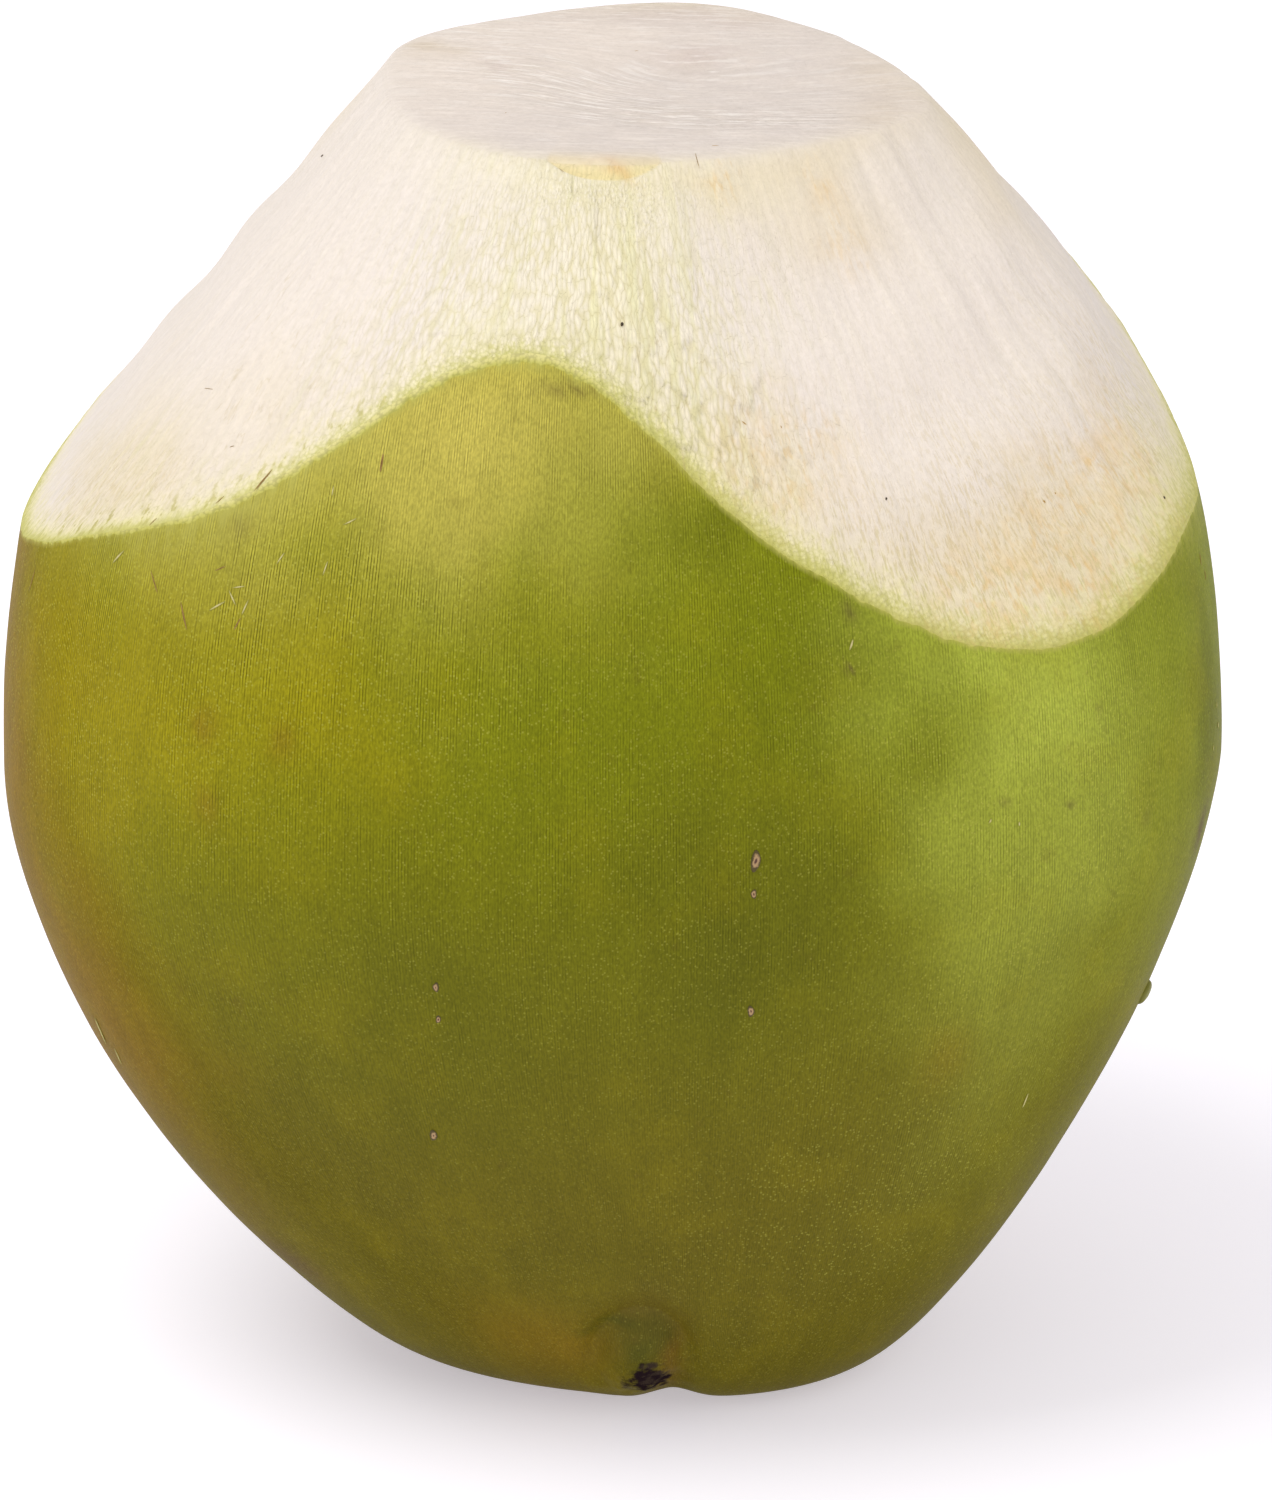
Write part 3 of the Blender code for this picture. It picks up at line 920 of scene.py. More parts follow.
# Small round flecks: one in each cell of the spacing, where it comes near the surface.
fleckGroup, given, mask = effectGroup("flecks", {"Spacing": 1.0, "Radius": 0.2, "Softness": 0.1})
scale = mathOf("DIVIDE", 1.0, given["Spacing"])
cell = newNode("ShaderNodeTexVoronoi", {"Vector": given["Place"], "Scale": scale, "Randomness": 1.0})
reach = times(cell.outputs["Distance"], given["Spacing"])
outer = plus(given["Radius"], given["Softness"])
inner = minus(given["Radius"], given["Softness"])
put(rangeOf(reach, outer, inner), mask)


def cloudsOf(size, low, high):         # on the place of the piece in hand
    return effectOf(cloudGroup, place, Size=size, Low=low, High=high)


def streaksOf(width, length, detail):  # along its grain
    return effectOf(streakGroup, grain, Width=width, Length=length, Detail=detail)


def flecksOf(spacing, radius, softness):
    return effectOf(fleckGroup, place, Spacing=spacing, Radius=radius, Softness=softness)


# The skin: green with painted patches, dark lines between the fibre strands and rows of pale flecks.
skinLook = {
    "umber": (0.128, 0.107, 0.006), "leaf": (0.190, 0.219, 0.004), "gold": (0.330, 0.264, 0.004),
    # the pale yellow-green on the next line is partly a painted sheen on the right front
    "rust": (0.245, 0.122, 0.011), "straw": (0.565, 0.472, 0.098), "limeAndSheen": (0.419, 0.473, 0.064),
    # the bottle green on the next line is partly painted shade along the fold at the tip
    "moss": (0.086, 0.089, 0.005), "tan": (0.150, 0.085, 0.010), "bottleAndCreaseShade": (0.072, 0.076, 0.004),
    "honey": (0.225, 0.140, 0.009), "bruise": (0.105, 0.062, 0.030), "scar": (0.018, 0.010, 0.012),
    "scarPale": (0.060, 0.043, 0.030), "fleck": (0.54, 0.52, 0.09), "smudge": (0.10, 0.06, 0.012),
    "edge": (0.46, 0.43, 0.10), "bareLow": (0.53, 0.50, 0.12), "bareHigh": (0.72, 0.66, 0.28),
    # clouds: size, and the noise from which and at which they are full
    "goldClouds": (13.0, 0.5, 0.68), "scarGrain": (1.1, 0.3, 0.7), "scarClouds": (1.8, 0.48, 0.6),
    "lineClouds": (18.0, 0.36, 0.62), "smudgeClouds": (4.5, 0.64, 0.78), "fleckClouds": (9.0, 0.3, 0.62),
    "goldShare": 0.10, "scarRagged": 0.36, "scarPaleShare": 0.6, "smudgeShare": 0.2,
    # streaks: width, length, detail
    "waver": (4.0, 30.0, 1.0), "lineStreaks": (0.9, 5.0, 3.0), "mottleStreaks": (4.5, 12.0, 4.0),
    "fineStreaks": (0.32, 0.6, 2.0), "edgeStreaks": (1.0, 3.0, 2.0),
    # flecks: spacing, radius, softness
    "flecks": (0.62, 0.13, 0.07), "sparks": (1.7, 0.13, 0.08), "fleckShare": 0.40, "sparkShare": 0.45,
    "lineWaver": 0.6, "lineDarkness": 0.60, "lineLight": 0.3, "limeSmoothness": 0.55,
    "mottle": 0.05, "fine": 0.17, "bareRagged": 0.9, "barePits": (0.6, 0.6, 0.5), "barePit": 0.78,
    # depth of the relief in millimetres, then its parts as shares of that
    "depth": 0.03, "fleckRelief": 0.3, "lineRelief": 0.4, "fineRelief": 1.2,
    "roughness": 0.48, "smoothness": 0.04, "lineRoughness": 0.15, "fleckRoughness": 0.1,
    "specular": 0.2, "specularAside": 0.015, "specularTint": (1.0, 0.95, 0.25),
}
skinMaterial, surface = plainMaterial("greenCoconutSkin", skinLook["leaf"], skinLook["roughness"])
place = millimetrePlace()
grain = attributeOf("grain", "Vector")
leaf, coarse = attributeOf("leaf"), attributeOf("coarse")
colour = skinLook["umber"]
for name in ("leaf", *skinPaint["patches"]):
    colour = mixColours(attributeOf(name), colour, skinLook[name])
goldShare = times(cloudsOf(*skinLook["goldClouds"]), skinLook["goldShare"])
colour = mixColours(goldShare, colour, skinLook["gold"])
for name in ("honey", "tan", "bottleAndCreaseShade", "bruise"):
    colour = mixColours(attributeOf(name), colour, skinLook[name])
scarGrain = times(minus(cloudsOf(*skinLook["scarGrain"]), 0.5), skinLook["scarRagged"])
scar = rangeOf(plus(attributeOf("scar"), scarGrain), 0.3, 0.85)
scarPale = times(cloudsOf(*skinLook["scarClouds"]), skinLook["scarPaleShare"])
colour = mixColours(scar, colour, mixColours(scarPale, skinLook["scar"], skinLook["scarPale"]))

# lines between the strands, stronger in patches and where the skin is coarse
waver = times(streaksOf(*skinLook["waver"]), skinLook["lineWaver"] * 2 * math.pi)
wave = mathOf("SINE", plus(times(attributeOf("strand"), 2 * math.pi), waver))
line = rangeOf(wave, -0.1, 1.0)
lineRelief = times(line, skinLook["lineRelief"])
lineShare = times(rangeOf(streaksOf(*skinLook["lineStreaks"]), 0.34, 0.66),
                  rangeOf(cloudsOf(*skinLook["lineClouds"]), 0.0, 1.0, 0.4, 1.0),
                  plus(times(attributeOf("limeAndSheen"), -skinLook["limeSmoothness"]), 1.0),
                  rangeOf(leaf, 0.0, 0.8, 0.4, 0.95),
                  rangeOf(coarse, 0.0, 1.0, 0.95, 1.6))
line = times(line, lineShare)
dark = minus(times(lineShare, skinLook["lineLight"]), line)    # light between the lines
dark = plus(times(dark, skinLook["lineDarkness"]), 1.0)
mottle = streaksOf(*skinLook["mottleStreaks"])
mottle = rangeOf(mottle, 0.3, 0.7, 1 - skinLook["mottle"], 1 + skinLook["mottle"])
fine = rangeOf(streaksOf(*skinLook["fineStreaks"]), 0.25, 0.75, 1 - skinLook["fine"], 1 + skinLook["fine"])
colour = scaled(colour, times(mottle, fine, dark))

# smudges, and pale flecks of two sizes
smudge = times(cloudsOf(*skinLook["smudgeClouds"]), skinLook["smudgeShare"])
colour = mixColours(smudge, colour, skinLook["smudge"])
fleck = flecksOf(*skinLook["flecks"])
fleckRelief = times(fleck, skinLook["fleckRelief"])
fleckPatches = rangeOf(cloudsOf(*skinLook["fleckClouds"]), 0.0, 1.0, 0.45, 1.0)
fleck = times(fleck, fleckPatches, skinLook["fleckShare"])
fleck = larger(fleck, times(flecksOf(*skinLook["sparks"]), skinLook["sparkShare"]))
fleckCover = times(rangeOf(leaf, 0.0, 0.6, 0.5, 0.85), rangeOf(coarse, 0.0, 1.0, 0.75, 1.8))
fleck = times(fleck, minus(fleckCover, scar, clamp=True))
colour = mixColours(fleck, colour, skinLook["fleck"])

# the cut edge: green that runs out softly, and above it the rind that the knife bared
edgeNoise = streaksOf(*skinLook["edgeStreaks"])
fade = mathOf("MULTIPLY", attributeOf("edgeFade"), rangeOf(edgeNoise, 0.3, 0.7, 0.45, 1.0), clamp=True)
colour = mixColours(fade, colour, skinLook["edge"])
bareEdge = plus(attributeOf("bareRind"), times(minus(edgeNoise, 0.5), skinLook["bareRagged"]))
bareColour = mixColours(rangeOf(bareEdge, 0.0, 1.3), skinLook["bareLow"], skinLook["bareHigh"])
pits = cellsOf(stretchedBy(grain, skinLook["barePits"]))["Distance"]
bareColour = scaled(bareColour, rangeOf(pits, 0.35, 0.8, 1.04, skinLook["barePit"]))
colour = mixColours(rangeOf(bareEdge, -0.08, 0.14), colour, bareColour)
put(colour, surface["Base Color"])

roughness = plus(times(line, skinLook["lineRoughness"]), skinLook["roughness"] - skinLook["smoothness"])
put(plus(roughness, times(fleck, skinLook["fleckRoughness"])), surface["Roughness"])
height = minus(fleckRelief, lineRelief)    # few nodes: a bump repeats them
put(bumpOf(plus(height, times(fine, skinLook["fineRelief"])), skinLook["depth"]), surface["Normal"])
facing = newNode("ShaderNodeLayerWeight", {"Blend": 0.5}).outputs["Facing"]
shine = rangeOf(facing, 0.1, 0.55, skinLook["specular"], skinLook["specularAside"])
put(times(shine, minus(1.0, scar)), surface["Specular IOR Level"])
put(skinLook["specularTint"], surface["Specular Tint"])
greenSkin.data.materials.append(skinMaterial)
print("skin material ready")

# The husk: white flesh that turns yellow and then green towards the skin.
# The knife tore it into small flakes.
huskLook = {
    "white": (0.815, 0.735, 0.665), "rosy": (0.890, 0.795, 0.705), "cream": (0.875, 0.80, 0.575),
    "wheat": (0.80, 0.66, 0.38), "orange": (0.80, 0.54, 0.20), "notch": (0.86, 0.72, 0.37),
    "disc": (0.715, 0.630, 0.575), "discPale": (0.805, 0.705, 0.625), "discTan": (0.68, 0.565, 0.44),
    "discRose": (0.665, 0.550, 0.495), "discStroke": (0.92, 0.85, 0.79), "discFurrow": (0.63, 0.545, 0.485),
    # the crevice colours, plain, green and orange, are painted shade in the crevices between flakes, over
    # the fibre's yellow
    "dash": (0.47, 0.40, 0.13), "limeStreak": (0.73, 0.70, 0.34), "creviceShade": (0.72, 0.64, 0.34),
    # the crack colour is a painted shadow along the cracks between plates
    "greenCreviceShade": (0.50, 0.48, 0.12), "orangeCreviceShade": (0.70, 0.46, 0.20), "crackShade": (0.56, 0.45, 0.22),
    # the comb gap colour is painted shade between the combed fibres
    "combGapShade": (0.66, 0.53, 0.27), "orangeFleck": (0.76, 0.51, 0.20),
    # the rind beside the skin: millimetres from the cut edge, colour, cover
    "rind": [
        (0.0, (0.53, 0.50, 0.12), 1.0), (0.5, (0.61, 0.575, 0.18), 1.0), (1.3, (0.71, 0.655, 0.285), 1.0),
        (2.4, (0.82, 0.745, 0.41), 0.85), (4.7, (0.87, 0.775, 0.53), 0.45), (9.5, (0.88, 0.78, 0.59), 0.0),
    ],
    "rindReach": 12.0, "rindRagged": 1.6, "raggedAtEdge": 0.25,
    "clouds": (5.0, 0.42, 0.66), "cloudOrange": 0.48, "cloudPale": 0.3,
    # streaks: width, length, detail
    "limeStreaks": (1.5, 15.0, 2.0), "raggedStreaks": (0.8, 1.8, 3.0), "discStrokes": (0.75, 6.0, 3.0),
    "cracks": (2.6, 11.0, 3.0), "crackBreaks": (1.6, 4.0, 1.0), "combStreaks": (0.28, 1.6, 2.0),
    "orangeStreaks": (0.9, 2.4, 2.0), "broadStreaks": (1.2, 14.0, 3.0),
    "limeShare": 0.5, "dashShare": 0.85, "furrowShare": 0.55, "creviceShare": 0.58, "creviceOnDisc": 0.1,
    "crackShare": 0.5, "combShare": 0.55, "orangeFleckShare": 0.6,
    # flakes and granules: width, depth and length of their cells
    "flakes": (0.60, 0.60, 2.1), "granules": (0.50, 0.50, 0.55), "flakeWarp": 1.3, "flakeWarpScale": 0.3,
    # the first number on the next line is how much lighter the tops of flakes and granules are painted, a
    # painted highlight
    "flakeTopHighlight": 0.09, "fineSize": 0.8, "fineRoughness": 0.6,
    # relief in millimetres
    "flakeDepth": 0.24, "ridgeDepth": 0.17, "granuleDepth": 0.18, "streakDepth": 0.12, "fineDepth": 0.6,
    "combDepth": 0.20, "flakesOnDisc": 0.5,
    "roughness": 0.6, "specular": 0.2,
}
huskMaterial, surface = plainMaterial("whiteHusk", huskLook["white"], huskLook["roughness"])
place = millimetrePlace()
grain = attributeOf("grain", "Vector")
onDisc, torn, orange, notch = (attributeOf(name) for name in ("onDisc", "torn", "orange", "notch"))
offDisc = minus(1.0, onDisc)
grainy = times(attributeOf("grainy"), offDisc)
combed = times(attributeOf("combed"), offDisc)
colour = huskLook["white"]
for name in ("rosy", "cream", "wheat"):
    colour = mixColours(attributeOf(name), colour, huskLook[name])
limeStreak = rangeOf(streaksOf(*huskLook["limeStreaks"]), 0.48, 0.66, 0.0, huskLook["limeShare"])
colour = mixColours(times(limeStreak, torn), colour, huskLook["limeStreak"])

# the rind, with a ragged border and dark dashes
fromSkin = attributeOf("fromSkin")
ragged = times(minus(streaksOf(*huskLook["raggedStreaks"]), 0.5), huskLook["rindRagged"])
deepen = times(ragged, plus(fromSkin, huskLook["raggedAtEdge"]))
reach = mathOf("DIVIDE", plus(fromSkin, deepen), huskLook["rindReach"], clamp=True)
rind = newNode("ShaderNodeValToRGB", {0: reach})
stops = rind.color_ramp.elements
for index, (distance, tint, cover) in enumerate(huskLook["rind"]):
    stop = stops[index] if index < 2 else stops.new(1.0)    # a ramp starts with two
    stop.position = distance / huskLook["rindReach"]
    stop.color = (*tint, cover)
rindCover = rind.outputs["Alpha"]
colour = mixColours(rindCover, colour, rind.outputs["Color"])
dash = times(rangeOf(ragged, -0.10, -0.24), attributeOf("dashed"), huskLook["dashShare"])
colour = mixColours(dash, colour, huskLook["dash"])
colour = mixColours(notch, colour, huskLook["notch"])
cloud = cloudsOf(*huskLook["clouds"])
orangeShare = times(orange, larger(notch, times(cloud, huskLook["cloudOrange"])))
colour = mixColours(orangeShare, colour, huskLook["orange"])

# the disc: strokes of pale fibre with darker furrows between them
discColour = huskLook["disc"]
for name in huskPaint["disc"]:
    discColour = mixColours(attributeOf(name), discColour, huskLook[name])
stroke = streaksOf(*huskLook["discStrokes"])
furrow = times(rangeOf(stroke, 0.47, 0.36, 0.0, huskLook["furrowShare"]), torn)
discColour = mixColours(furrow, discColour, huskLook["discFurrow"])
discColour = mixColours(times(rangeOf(stroke, 0.52, 0.62), torn), discColour, huskLook["discStroke"])
discColour = mixColours(times(cloud, huskLook["cloudPale"]), discColour, huskLook["discPale"])
colour = mixColours(attributeOf("discShare"), colour, discColour)

# torn flakes: painted highlights on their tops, yellowish crevices between them darkened with painted shade,
# and lower ends that stand up
warp = newNode("ShaderNodeTexNoise", {"Vector": grain, "Scale": huskLook["flakeWarpScale"], "Detail": 1.0})
warp = scaled(warp.outputs["Color"], huskLook["flakeWarp"])
bent = newNode("ShaderNodeVectorMath", {0: warp, 1: grain}, operation="ADD").outputs[0]
flakePlace = stretchedBy(bent, huskLook["flakes"])
flakeCell = cellsOf(flakePlace)
slope = newNode("ShaderNodeVectorMath", {0: flakeCell["Position"], 1: flakePlace}, operation="SUBTRACT")
flake = newNode("ShaderNodeSeparateXYZ", {0: slope.outputs[0]}).outputs[2]
ridge = flakeCell["Distance"]
granule = cellsOf(stretchedBy(grain, huskLook["granules"]))["Distance"]
# painted shade: the crevices round flakes and granules are darkened, greener near the rind and oranger where
# the husk is orange
creviceShade = larger(times(rangeOf(ridge, 0.36, 0.75), torn), times(rangeOf(granule, 0.38, 0.75), grainy))
creviceShade = times(creviceShade, rangeOf(onDisc, 0.0, 1.0, 1.0, huskLook["creviceOnDisc"]), huskLook["creviceShare"])
creviceShadeColour = mixColours(times(rindCover, offDisc), huskLook["creviceShade"], huskLook["greenCreviceShade"])
colour = mixColours(creviceShade, colour, mixColours(orange, creviceShadeColour, huskLook["orangeCreviceShade"]))

# painted shadow lines along the cracks between the plates, painted shade in the gaps between the combed
# fibres, and orange flecks
crackShade = mathOf("ABSOLUTE", minus(streaksOf(*huskLook["cracks"]), 0.5))
crackShade = times(rangeOf(crackShade, 0.014, 0.003), attributeOf("platy"))
breaks = times(rangeOf(streaksOf(*huskLook["crackBreaks"]), 0.46, 0.6), offDisc)
colour = mixColours(times(crackShade, breaks, huskLook["crackShare"]), colour, huskLook["crackShade"])
comb = streaksOf(*huskLook["combStreaks"])
# painted shade in the gaps between the combed fibres, greener near the rind
combGapShade = times(rangeOf(comb, 0.52, 0.36), combed, huskLook["combShare"])
colour = mixColours(combGapShade, colour, mixColours(rindCover, huskLook["combGapShade"], huskLook["greenCreviceShade"]))
orangeFleck = times(rangeOf(streaksOf(*huskLook["orangeStreaks"]), 0.52, 0.68), orange, offDisc)
colour = mixColours(times(orangeFleck, huskLook["orangeFleckShare"]), colour, huskLook["orangeFleck"])

# light and shade over all of it
# painted highlight: the tops of flakes and granules are made lighter
top = larger(times(rangeOf(ridge, 0.4, 0.1), torn), times(rangeOf(granule, 0.4, 0.1), grainy))
top = rangeOf(top, 0.0, 1.0, 1.0, 1.0 + huskLook["flakeTopHighlight"])
streak = streaksOf(*huskLook["broadStreaks"])
fine = noiseOf(place, huskLook["fineSize"], 2.0, huskLook["fineRoughness"])
fine = rangeOf(fine, 0.25, 0.75, 0.965, 1.03)
colour = scaled(colour, times(rangeOf(streak, 0.3, 0.7, 0.972, 1.02), top, fine))
put(colour, surface["Base Color"])

flakes = minus(times(flake, huskLook["flakeDepth"]), times(ridge, huskLook["ridgeDepth"]))
flakes = times(flakes, torn, rangeOf(onDisc, 0.0, 1.0, 1.0, huskLook["flakesOnDisc"]))
height = plus(flakes, times(granule, grainy, -huskLook["granuleDepth"]))
height = plus(height, times(streak, huskLook["streakDepth"]))
height = plus(height, times(fine, huskLook["fineDepth"]))
height = plus(height, times(comb, combed, huskLook["combDepth"]))
put(bumpOf(height, 1.0), surface["Normal"])
put(huskLook["specular"], surface["Specular IOR Level"])
paredHusk.data.materials.append(huskMaterial)
print("husk material ready")

# Small marks that lie on the fruit: each kind is modelled once, then copied, turned, stretched and joined.
# Each row: point in millimetres, turn from upright in degrees, width, length.
markRows = {
    "budScars": [
        ((17.9, -72.9, 91.8), 8, 1.3, 2.9), ((17.9, -73, 87.3), 0, 0.8, 1.3),
        ((17.4, -71.7, 70.8), -5, 0.9, 1.6), ((-23.4, -67, 51.4), 4, 1.0, 1.9),
        ((-22.6, -74.3, 75), 0, 0.8, 1.5), ((-22.5, -73.3, 70.2), 10, 0.7, 1.2),
        ((60, 52, 84), 0, 1.1, 2.3), ((-64, 46, 66), 8, 0.9, 1.8), ((10, 76, 96), -6, 1.2, 2.6),
    ],
    "darkSpecks": [
        ((1, -56.2, 157.9), 20, 0.42, 0.6), ((34.4, -55.4, 134.2), 40, 0.3, 0.48),
        ((71.3, -28.1, 124.9), 0, 0.32, 0.4), ((-38.4, -6.4, 165.4), 30, 0.3, 0.5),
        ((-30, 44, 150), 0, 0.35, 0.5), ((26, 52, 148), 50, 0.3, 0.6), ((-12, 60, 146), 0, 0.25, 0.35),
    ],
    "brownSpecks": [
        ((16.6, -57.8, 145.4), -40, 0.16, 0.75), ((21.2, -56, 144.2), 10, 0.16, 0.4),
        ((55.1, -42.2, 129.3), -35, 0.22, 0.45), ((56.5, -40.5, 129.8), 0, 0.2, 0.26),
        ((13, -33, 175), 82, 0.13, 0.9), ((3, 12, 176), 70, 0.12, 0.5), ((-14, -20, 176), 30, 0.1, 0.4),
    ],
    "brownScratches": [
        ((-52.2, -39.1, 143.9), 75, 0.1, 2.2), ((-48.8, -52.5, 140.6), 55, 0.14, 0.8),
        ((-44.5, -60.9, 138.9), 12, 0.3, 3.4), ((-58.3, -56.8, 123.6), -35, 0.2, 3.2),
        ((-54.5, -61.1, 120.5), -25, 0.24, 3.8), ((-49.9, -62.2, 127.4), 60, 0.16, 1.8),
        ((-75.8, -34, 115.9), 15, 0.24, 3.4), ((-47.7, -65.3, 121), 25, 0.2, 2.0),
        ((77.2, -24.4, 115.4), 10, 0.25, 1.8), ((78, -23.2, 112.8), 5, 0.25, 1.4),
        ((10.7, -38.6, 174.9), 12, 0.1, 3.4), ((-6.6, -41.3, 174.2), 80, 0.12, 2.0),
        ((-29.2, -64.9, 142.4), 5, 0.3, 2.6), ((-50.3, -58.8, 135.7), 20, 0.16, 1.4),
        ((-58.9, -53.9, 130.9), 15, 0.14, 1.4), ((40, 64, 90), 30, 0.3, 3.2),
        ((-20, 74, 104), -15, 0.24, 2.8), ((-70, 30, 96), 10, 0.24, 3.0),
    ],
    "paleScratches": [
        ((-33.2, -66.6, 135.2), 60, 0.22, 2.0), ((-35.4, -64.7, 138.6), 5, 0.2, 1.4),
        ((48.2, -62.7, 93.3), 30, 0.3, 0.6), ((52, -60.6, 92.1), 0, 0.25, 0.6),
        ((-63.4, -51.6, 125.2), 40, 0.28, 3.0), ((-61.9, -53.3, 123.6), -25, 0.24, 2.2),
        ((-48.3, -64.1, 124.1), -35, 0.26, 2.2), ((-50, -62.9, 122.6), 55, 0.28, 2.8),
        ((-46.4, -64.6, 123), 20, 0.24, 2.2), ((-47.5, -64.2, 125.6), 75, 0.2, 1.8),
        ((-42.1, -65.4, 129.9), 30, 0.22, 1.8), ((-36.4, -67.6, 129.3), 15, 0.2, 2.0),
        ((54, -50.3, 49.2), 5, 0.3, 2.6), ((79.6, -24.6, 95.1), 5, 0.3, 0.9),
        ((80.1, -23.7, 91.9), 0, 0.35, 0.9), ((79.2, -26.8, 89.8), 0, 0.3, 0.8),
        ((30.1, -67, 118.8), 20, 0.3, 1.6), ((-68.2, -37, 53.6), 12, 0.45, 5.2),
        ((-66.4, -38.6, 50), 16, 0.3, 3.4), ((66, 44, 108), 20, 0.3, 2.6), ((-44, 62, 84), -10, 0.28, 2.4),
    ],
    "sideNub": [((71.5, -25.5, 54.2), 5, 3.4, 3.6)],
}
# Sides and rings of each form, its thickness as a share of its width, and how much of it is sunk in.
markForm = {
    "budScars": (20, 12, 0.16, 0.25), "darkSpecks": (10, 6, 0.5, 0.2), "brownSpecks": (8, 8, 0.4, 0.2),
    "brownScratches": (8, 14, 0.35, 0.1), "paleScratches": (8, 14, 0.4, 0.1), "sideNub": (20, 12, 0.5, 0.5),
}
markWear = {"uneven": 0.12, "unevenSize": 0.4, "bend": 2.0, "mostBend": 0.16}


def formOf(name):                      # a flat pebble, 1 wide, 1 long and 1 thick
    sides, rings, _, _ = markForm[name]
    bpy.ops.object.select_all(action="DESELECT")
    bpy.ops.mesh.primitive_uv_sphere_add(segments=sides, ring_count=rings, radius=0.5)
    form = bpy.context.object
    form.name = form.data.name = name
    bpy.ops.object.shade_smooth()
    return form


def selectOnly(pieces):
    bpy.ops.object.select_all(action="DESELECT")
    for piece in pieces:
        piece.select_set(True)
    bpy.context.view_layer.objects.active = pieces[0]


def stuckOn(form, number, point, turned, width, length):    # one copy, laid on the surface at the point
    _, _, share, sunk = markForm[form.name]
    target = Vector(point) * mm
    found = [piece.closest_point_on_mesh(target)[1:3] for piece in (greenSkin, paredHusk)]
    spot, normal = min(found, key=lambda near: (near[0] - target).length)
    selectOnly([form])
    bpy.ops.object.duplicate()
    copy = bpy.context.object
    bpy.ops.object.transform_apply()
    place = np.zeros(len(copy.data.vertices) * 3)
    copy.data.vertices.foreach_get("co", place)
    place = place.reshape(-1, 3)
    addValues(copy, "fromCentre", np.hypot(place[:, 0], place[:, 1]) * 2)
    uneven = markWear["uneven"] * softNoise(place + 3 * number, markWear["unevenSize"], 90, 2)
    bend = min(markWear["bend"] * width / length, markWear["mostBend"])
    bend = bend * (dice(np.array([number, 1, 2]), 91) * 2 - 1) * (1 - 4 * place[:, 1] ** 2)
    place = place * (1 + uneven[:, None])
    place[:, 0] += bend
    copy.data.vertices.foreach_set("co", place.ravel())
    up = Vector((0, 0, 1)) if abs(normal.z) < 0.97 else Vector((0, 1, 0))
    along = (up - normal * up.dot(normal)).normalized()
    along = Quaternion(normal, math.radians(-turned)) @ along
    across = along.cross(normal)
    copy.rotation_euler = Matrix((across, along, normal)).transposed().to_euler()
    copy.scale = (width * mm, length * mm, share * width * mm)
    copy.location = spot + normal * width * share * mm * (0.5 - sunk)
    bpy.ops.object.transform_apply()
    return copy


markPieces = {}
for name, rows in markRows.items():
    form = formOf(name)
    copies = [stuckOn(form, number, *row) for number, row in enumerate(rows)]
    bpy.data.meshes.remove(form.data)    # and with it the form
    selectOnly(copies)
    if len(copies) > 1:
        bpy.ops.object.join()
    piece = bpy.context.view_layer.objects.active
    piece.name = piece.data.name = name
    markPieces[name] = piece
    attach(piece, "root")
print("small marks placed:", sum(len(rows) for rows in markRows.values()))

# Their materials: two or three colours that change from the middle of each mark to its border.
markLook = {
    # colour in the middle, colour half way out, colour at the border, roughness
    "budScars": ((0.10, 0.045, 0.03), (0.42, 0.27, 0.13), (0.085, 0.062, 0.016), 0.6),
    "darkSpecks": ((0.03, 0.022, 0.016), (0.05, 0.035, 0.02), (0.10, 0.07, 0.035), 0.7),
    "brownSpecks": ((0.30, 0.14, 0.03), (0.38, 0.20, 0.05), (0.55, 0.36, 0.12), 0.7),
    "brownScratches": ((0.16, 0.080, 0.02), (0.24, 0.13, 0.035), (0.34, 0.22, 0.06), 0.6),
    "paleScratches": ((0.62, 0.55, 0.26), (0.55, 0.48, 0.20), (0.40, 0.37, 0.10), 0.6),
    "sideNub": ((0.22, 0.23, 0.035), (0.20, 0.205, 0.028), (0.17, 0.165, 0.020), 0.5),
}
for name, (middle, halfway, border, roughness) in markLook.items():
    material, surface = plainMaterial(name + "Skin", middle, roughness)
    place = millimetrePlace()
    outwards = plus(attributeOf("fromCentre"), times(minus(noiseOf(place, 0.5, 3.0), 0.5), 0.7))
    colour = mixColours(rangeOf(outwards, 0.15, 0.4), middle, halfway)
    colour = mixColours(rangeOf(outwards, 0.5, 0.8), colour, border)
    put(colour, surface["Base Color"])
    put(bumpOf(noiseOf(place, 0.3, 2.0), 0.08), surface["Normal"])
    put(0.25, surface["Specular IOR Level"])
    markPieces[name].data.materials.append(material)
print("mark materials ready")

for piece, slotName in ((greenSkin, "green_skin"), (paredHusk, "pared_husk")):
    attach(piece, "root")
    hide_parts("coconut")

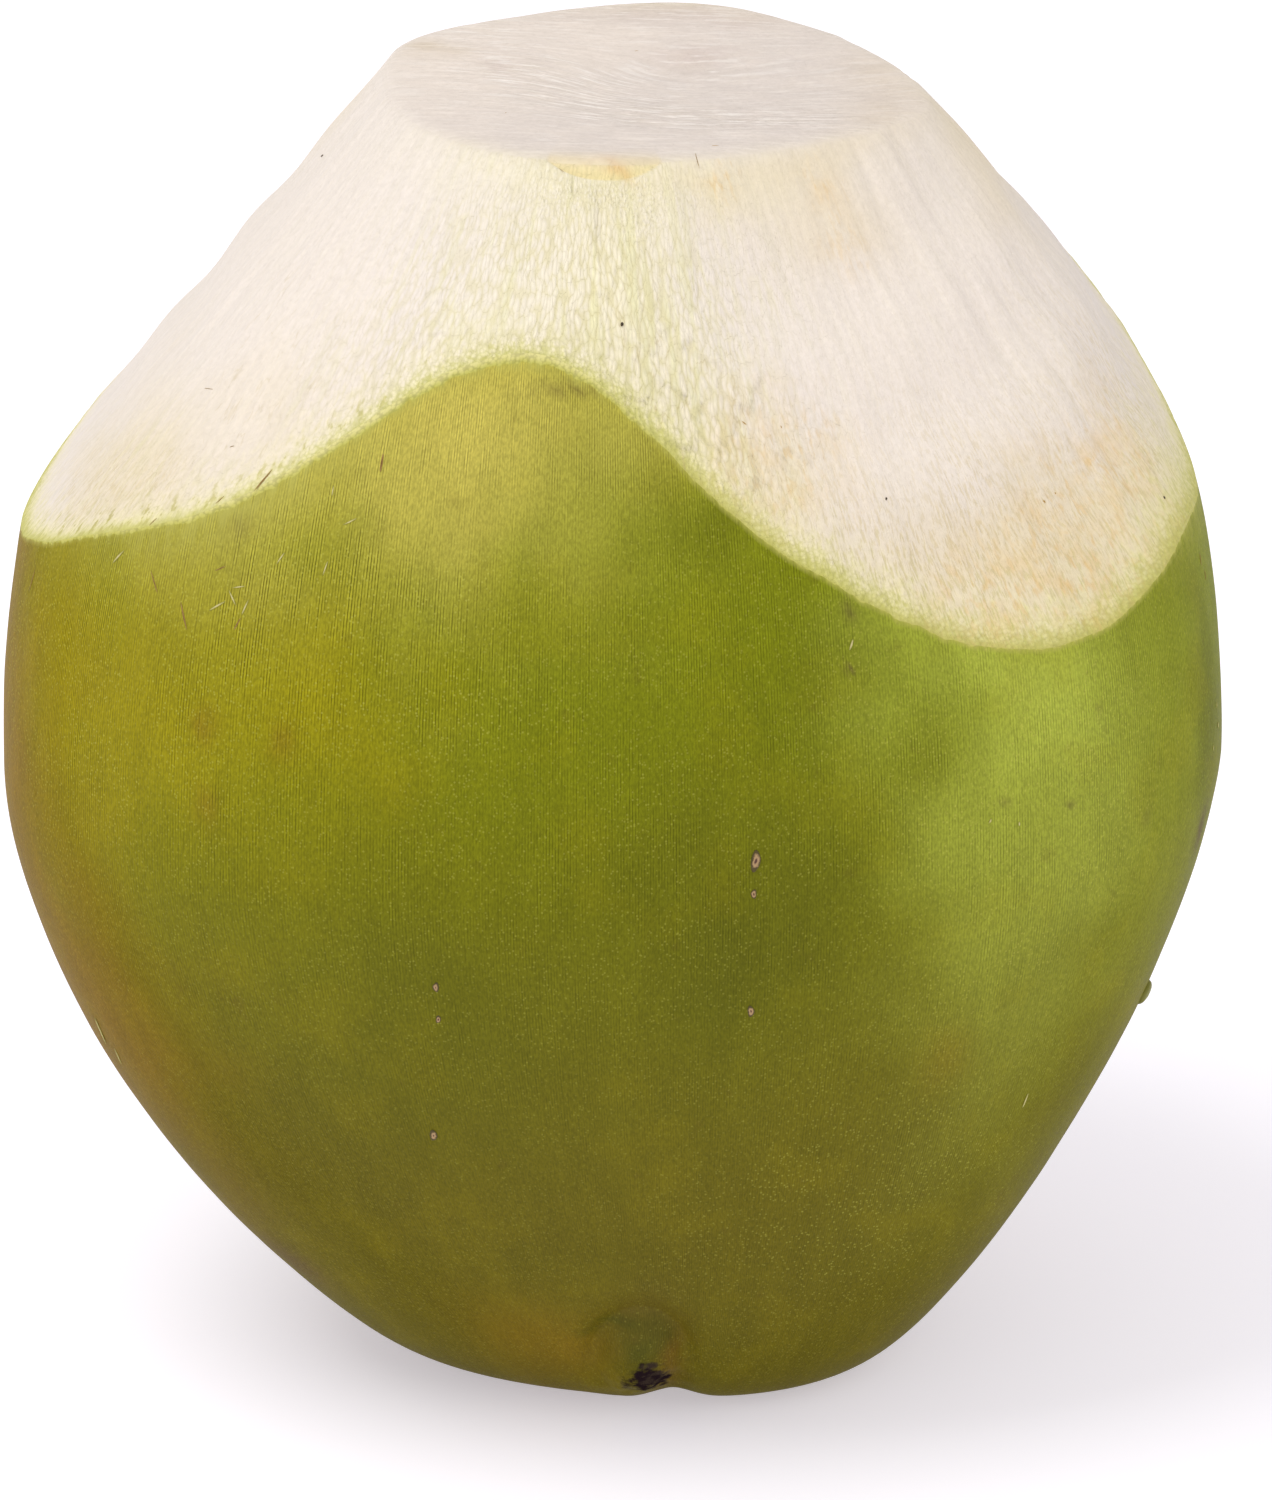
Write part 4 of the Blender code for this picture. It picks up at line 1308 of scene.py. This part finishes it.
# The studio: a plain white floor and world.
# A large soft light stands at the upper left and a weaker one at the right.
studio = {
    "floorSize": 12.0,
    "floorDrop": 0.0002,    # so that the floor and the foot don't share a plane
    "floorRoughness": 0.6,
    "floorColour": (0.80, 0.79, 0.81),
    "floorGlowColour": (0.95, 0.90, 1.0),
    "worldColour": (1.0, 1.0, 1.0),
    "worldStrength": 0.60,
    "floorGlow": 0.45,
    "lookAt": (0, 0, 0.088),
    "cameraDistance": 1.0888,
    "cameraElevation": 20.16,
    "lens": 192.6,
    "shiftX": 0.0148,
    "shiftY": -0.0393,
    # each light: azimuth, elevation, distance, size, power
    "lights": {"softKey": (-68, 63, 1.5, 0.85, 10.8), "softFill": (50, 35, 1.6, 1.2, 4)},
}
bpy.ops.object.select_all(action="DESELECT")
bpy.ops.mesh.primitive_plane_add(size=studio["floorSize"], location=(0, 0, -studio["floorDrop"]))
floor = bpy.context.object
floor.name = "floor"
floorMaterial, surface = plainMaterial("paleFloor", studio["floorColour"], studio["floorRoughness"])
put(0, surface["Specular IOR Level"])
put(studio["floorGlowColour"], surface["Emission Color"])
put(studio["floorGlow"], surface["Emission Strength"])    # a table lit from below
floor.data.materials.append(floorMaterial)


def placeAround(azimuth, elevation, distance):    # a spot round the point that the camera looks at
    a, e = math.radians(azimuth), math.radians(elevation)
    outwards = Vector((math.sin(a) * math.cos(e), -math.cos(a) * math.cos(e), math.sin(e)))
    return Vector(studio["lookAt"]) + outwards * distance


def aim(thing):
    thing.rotation_euler = (Vector(studio["lookAt"]) - thing.location).to_track_quat("-Z", "Y").to_euler()


for name, (azimuth, elevation, distance, size, power) in studio["lights"].items():
    bpy.ops.object.light_add(type="AREA", location=placeAround(azimuth, elevation, distance))
    light = bpy.context.object
    light.name = name
    light.data.size = size
    light.data.energy = power
    aim(light)

world = bpy.data.worlds.new("whiteStudio")
world.use_nodes = True
background = world.node_tree.nodes["Background"].inputs
put(studio["worldColour"], background["Color"])
put(studio["worldStrength"], background["Strength"])
bpy.context.scene.world = world

bpy.ops.object.camera_add(location=placeAround(0, studio["cameraElevation"], studio["cameraDistance"]))
camera = bpy.context.object
camera.data.lens = studio["lens"]
camera.data.shift_x = studio["shiftX"]
camera.data.shift_y = studio["shiftY"]
aim(camera)
bpy.context.scene.camera = camera
bpy.context.scene.view_settings.view_transform = "Standard"
print("studio ready")
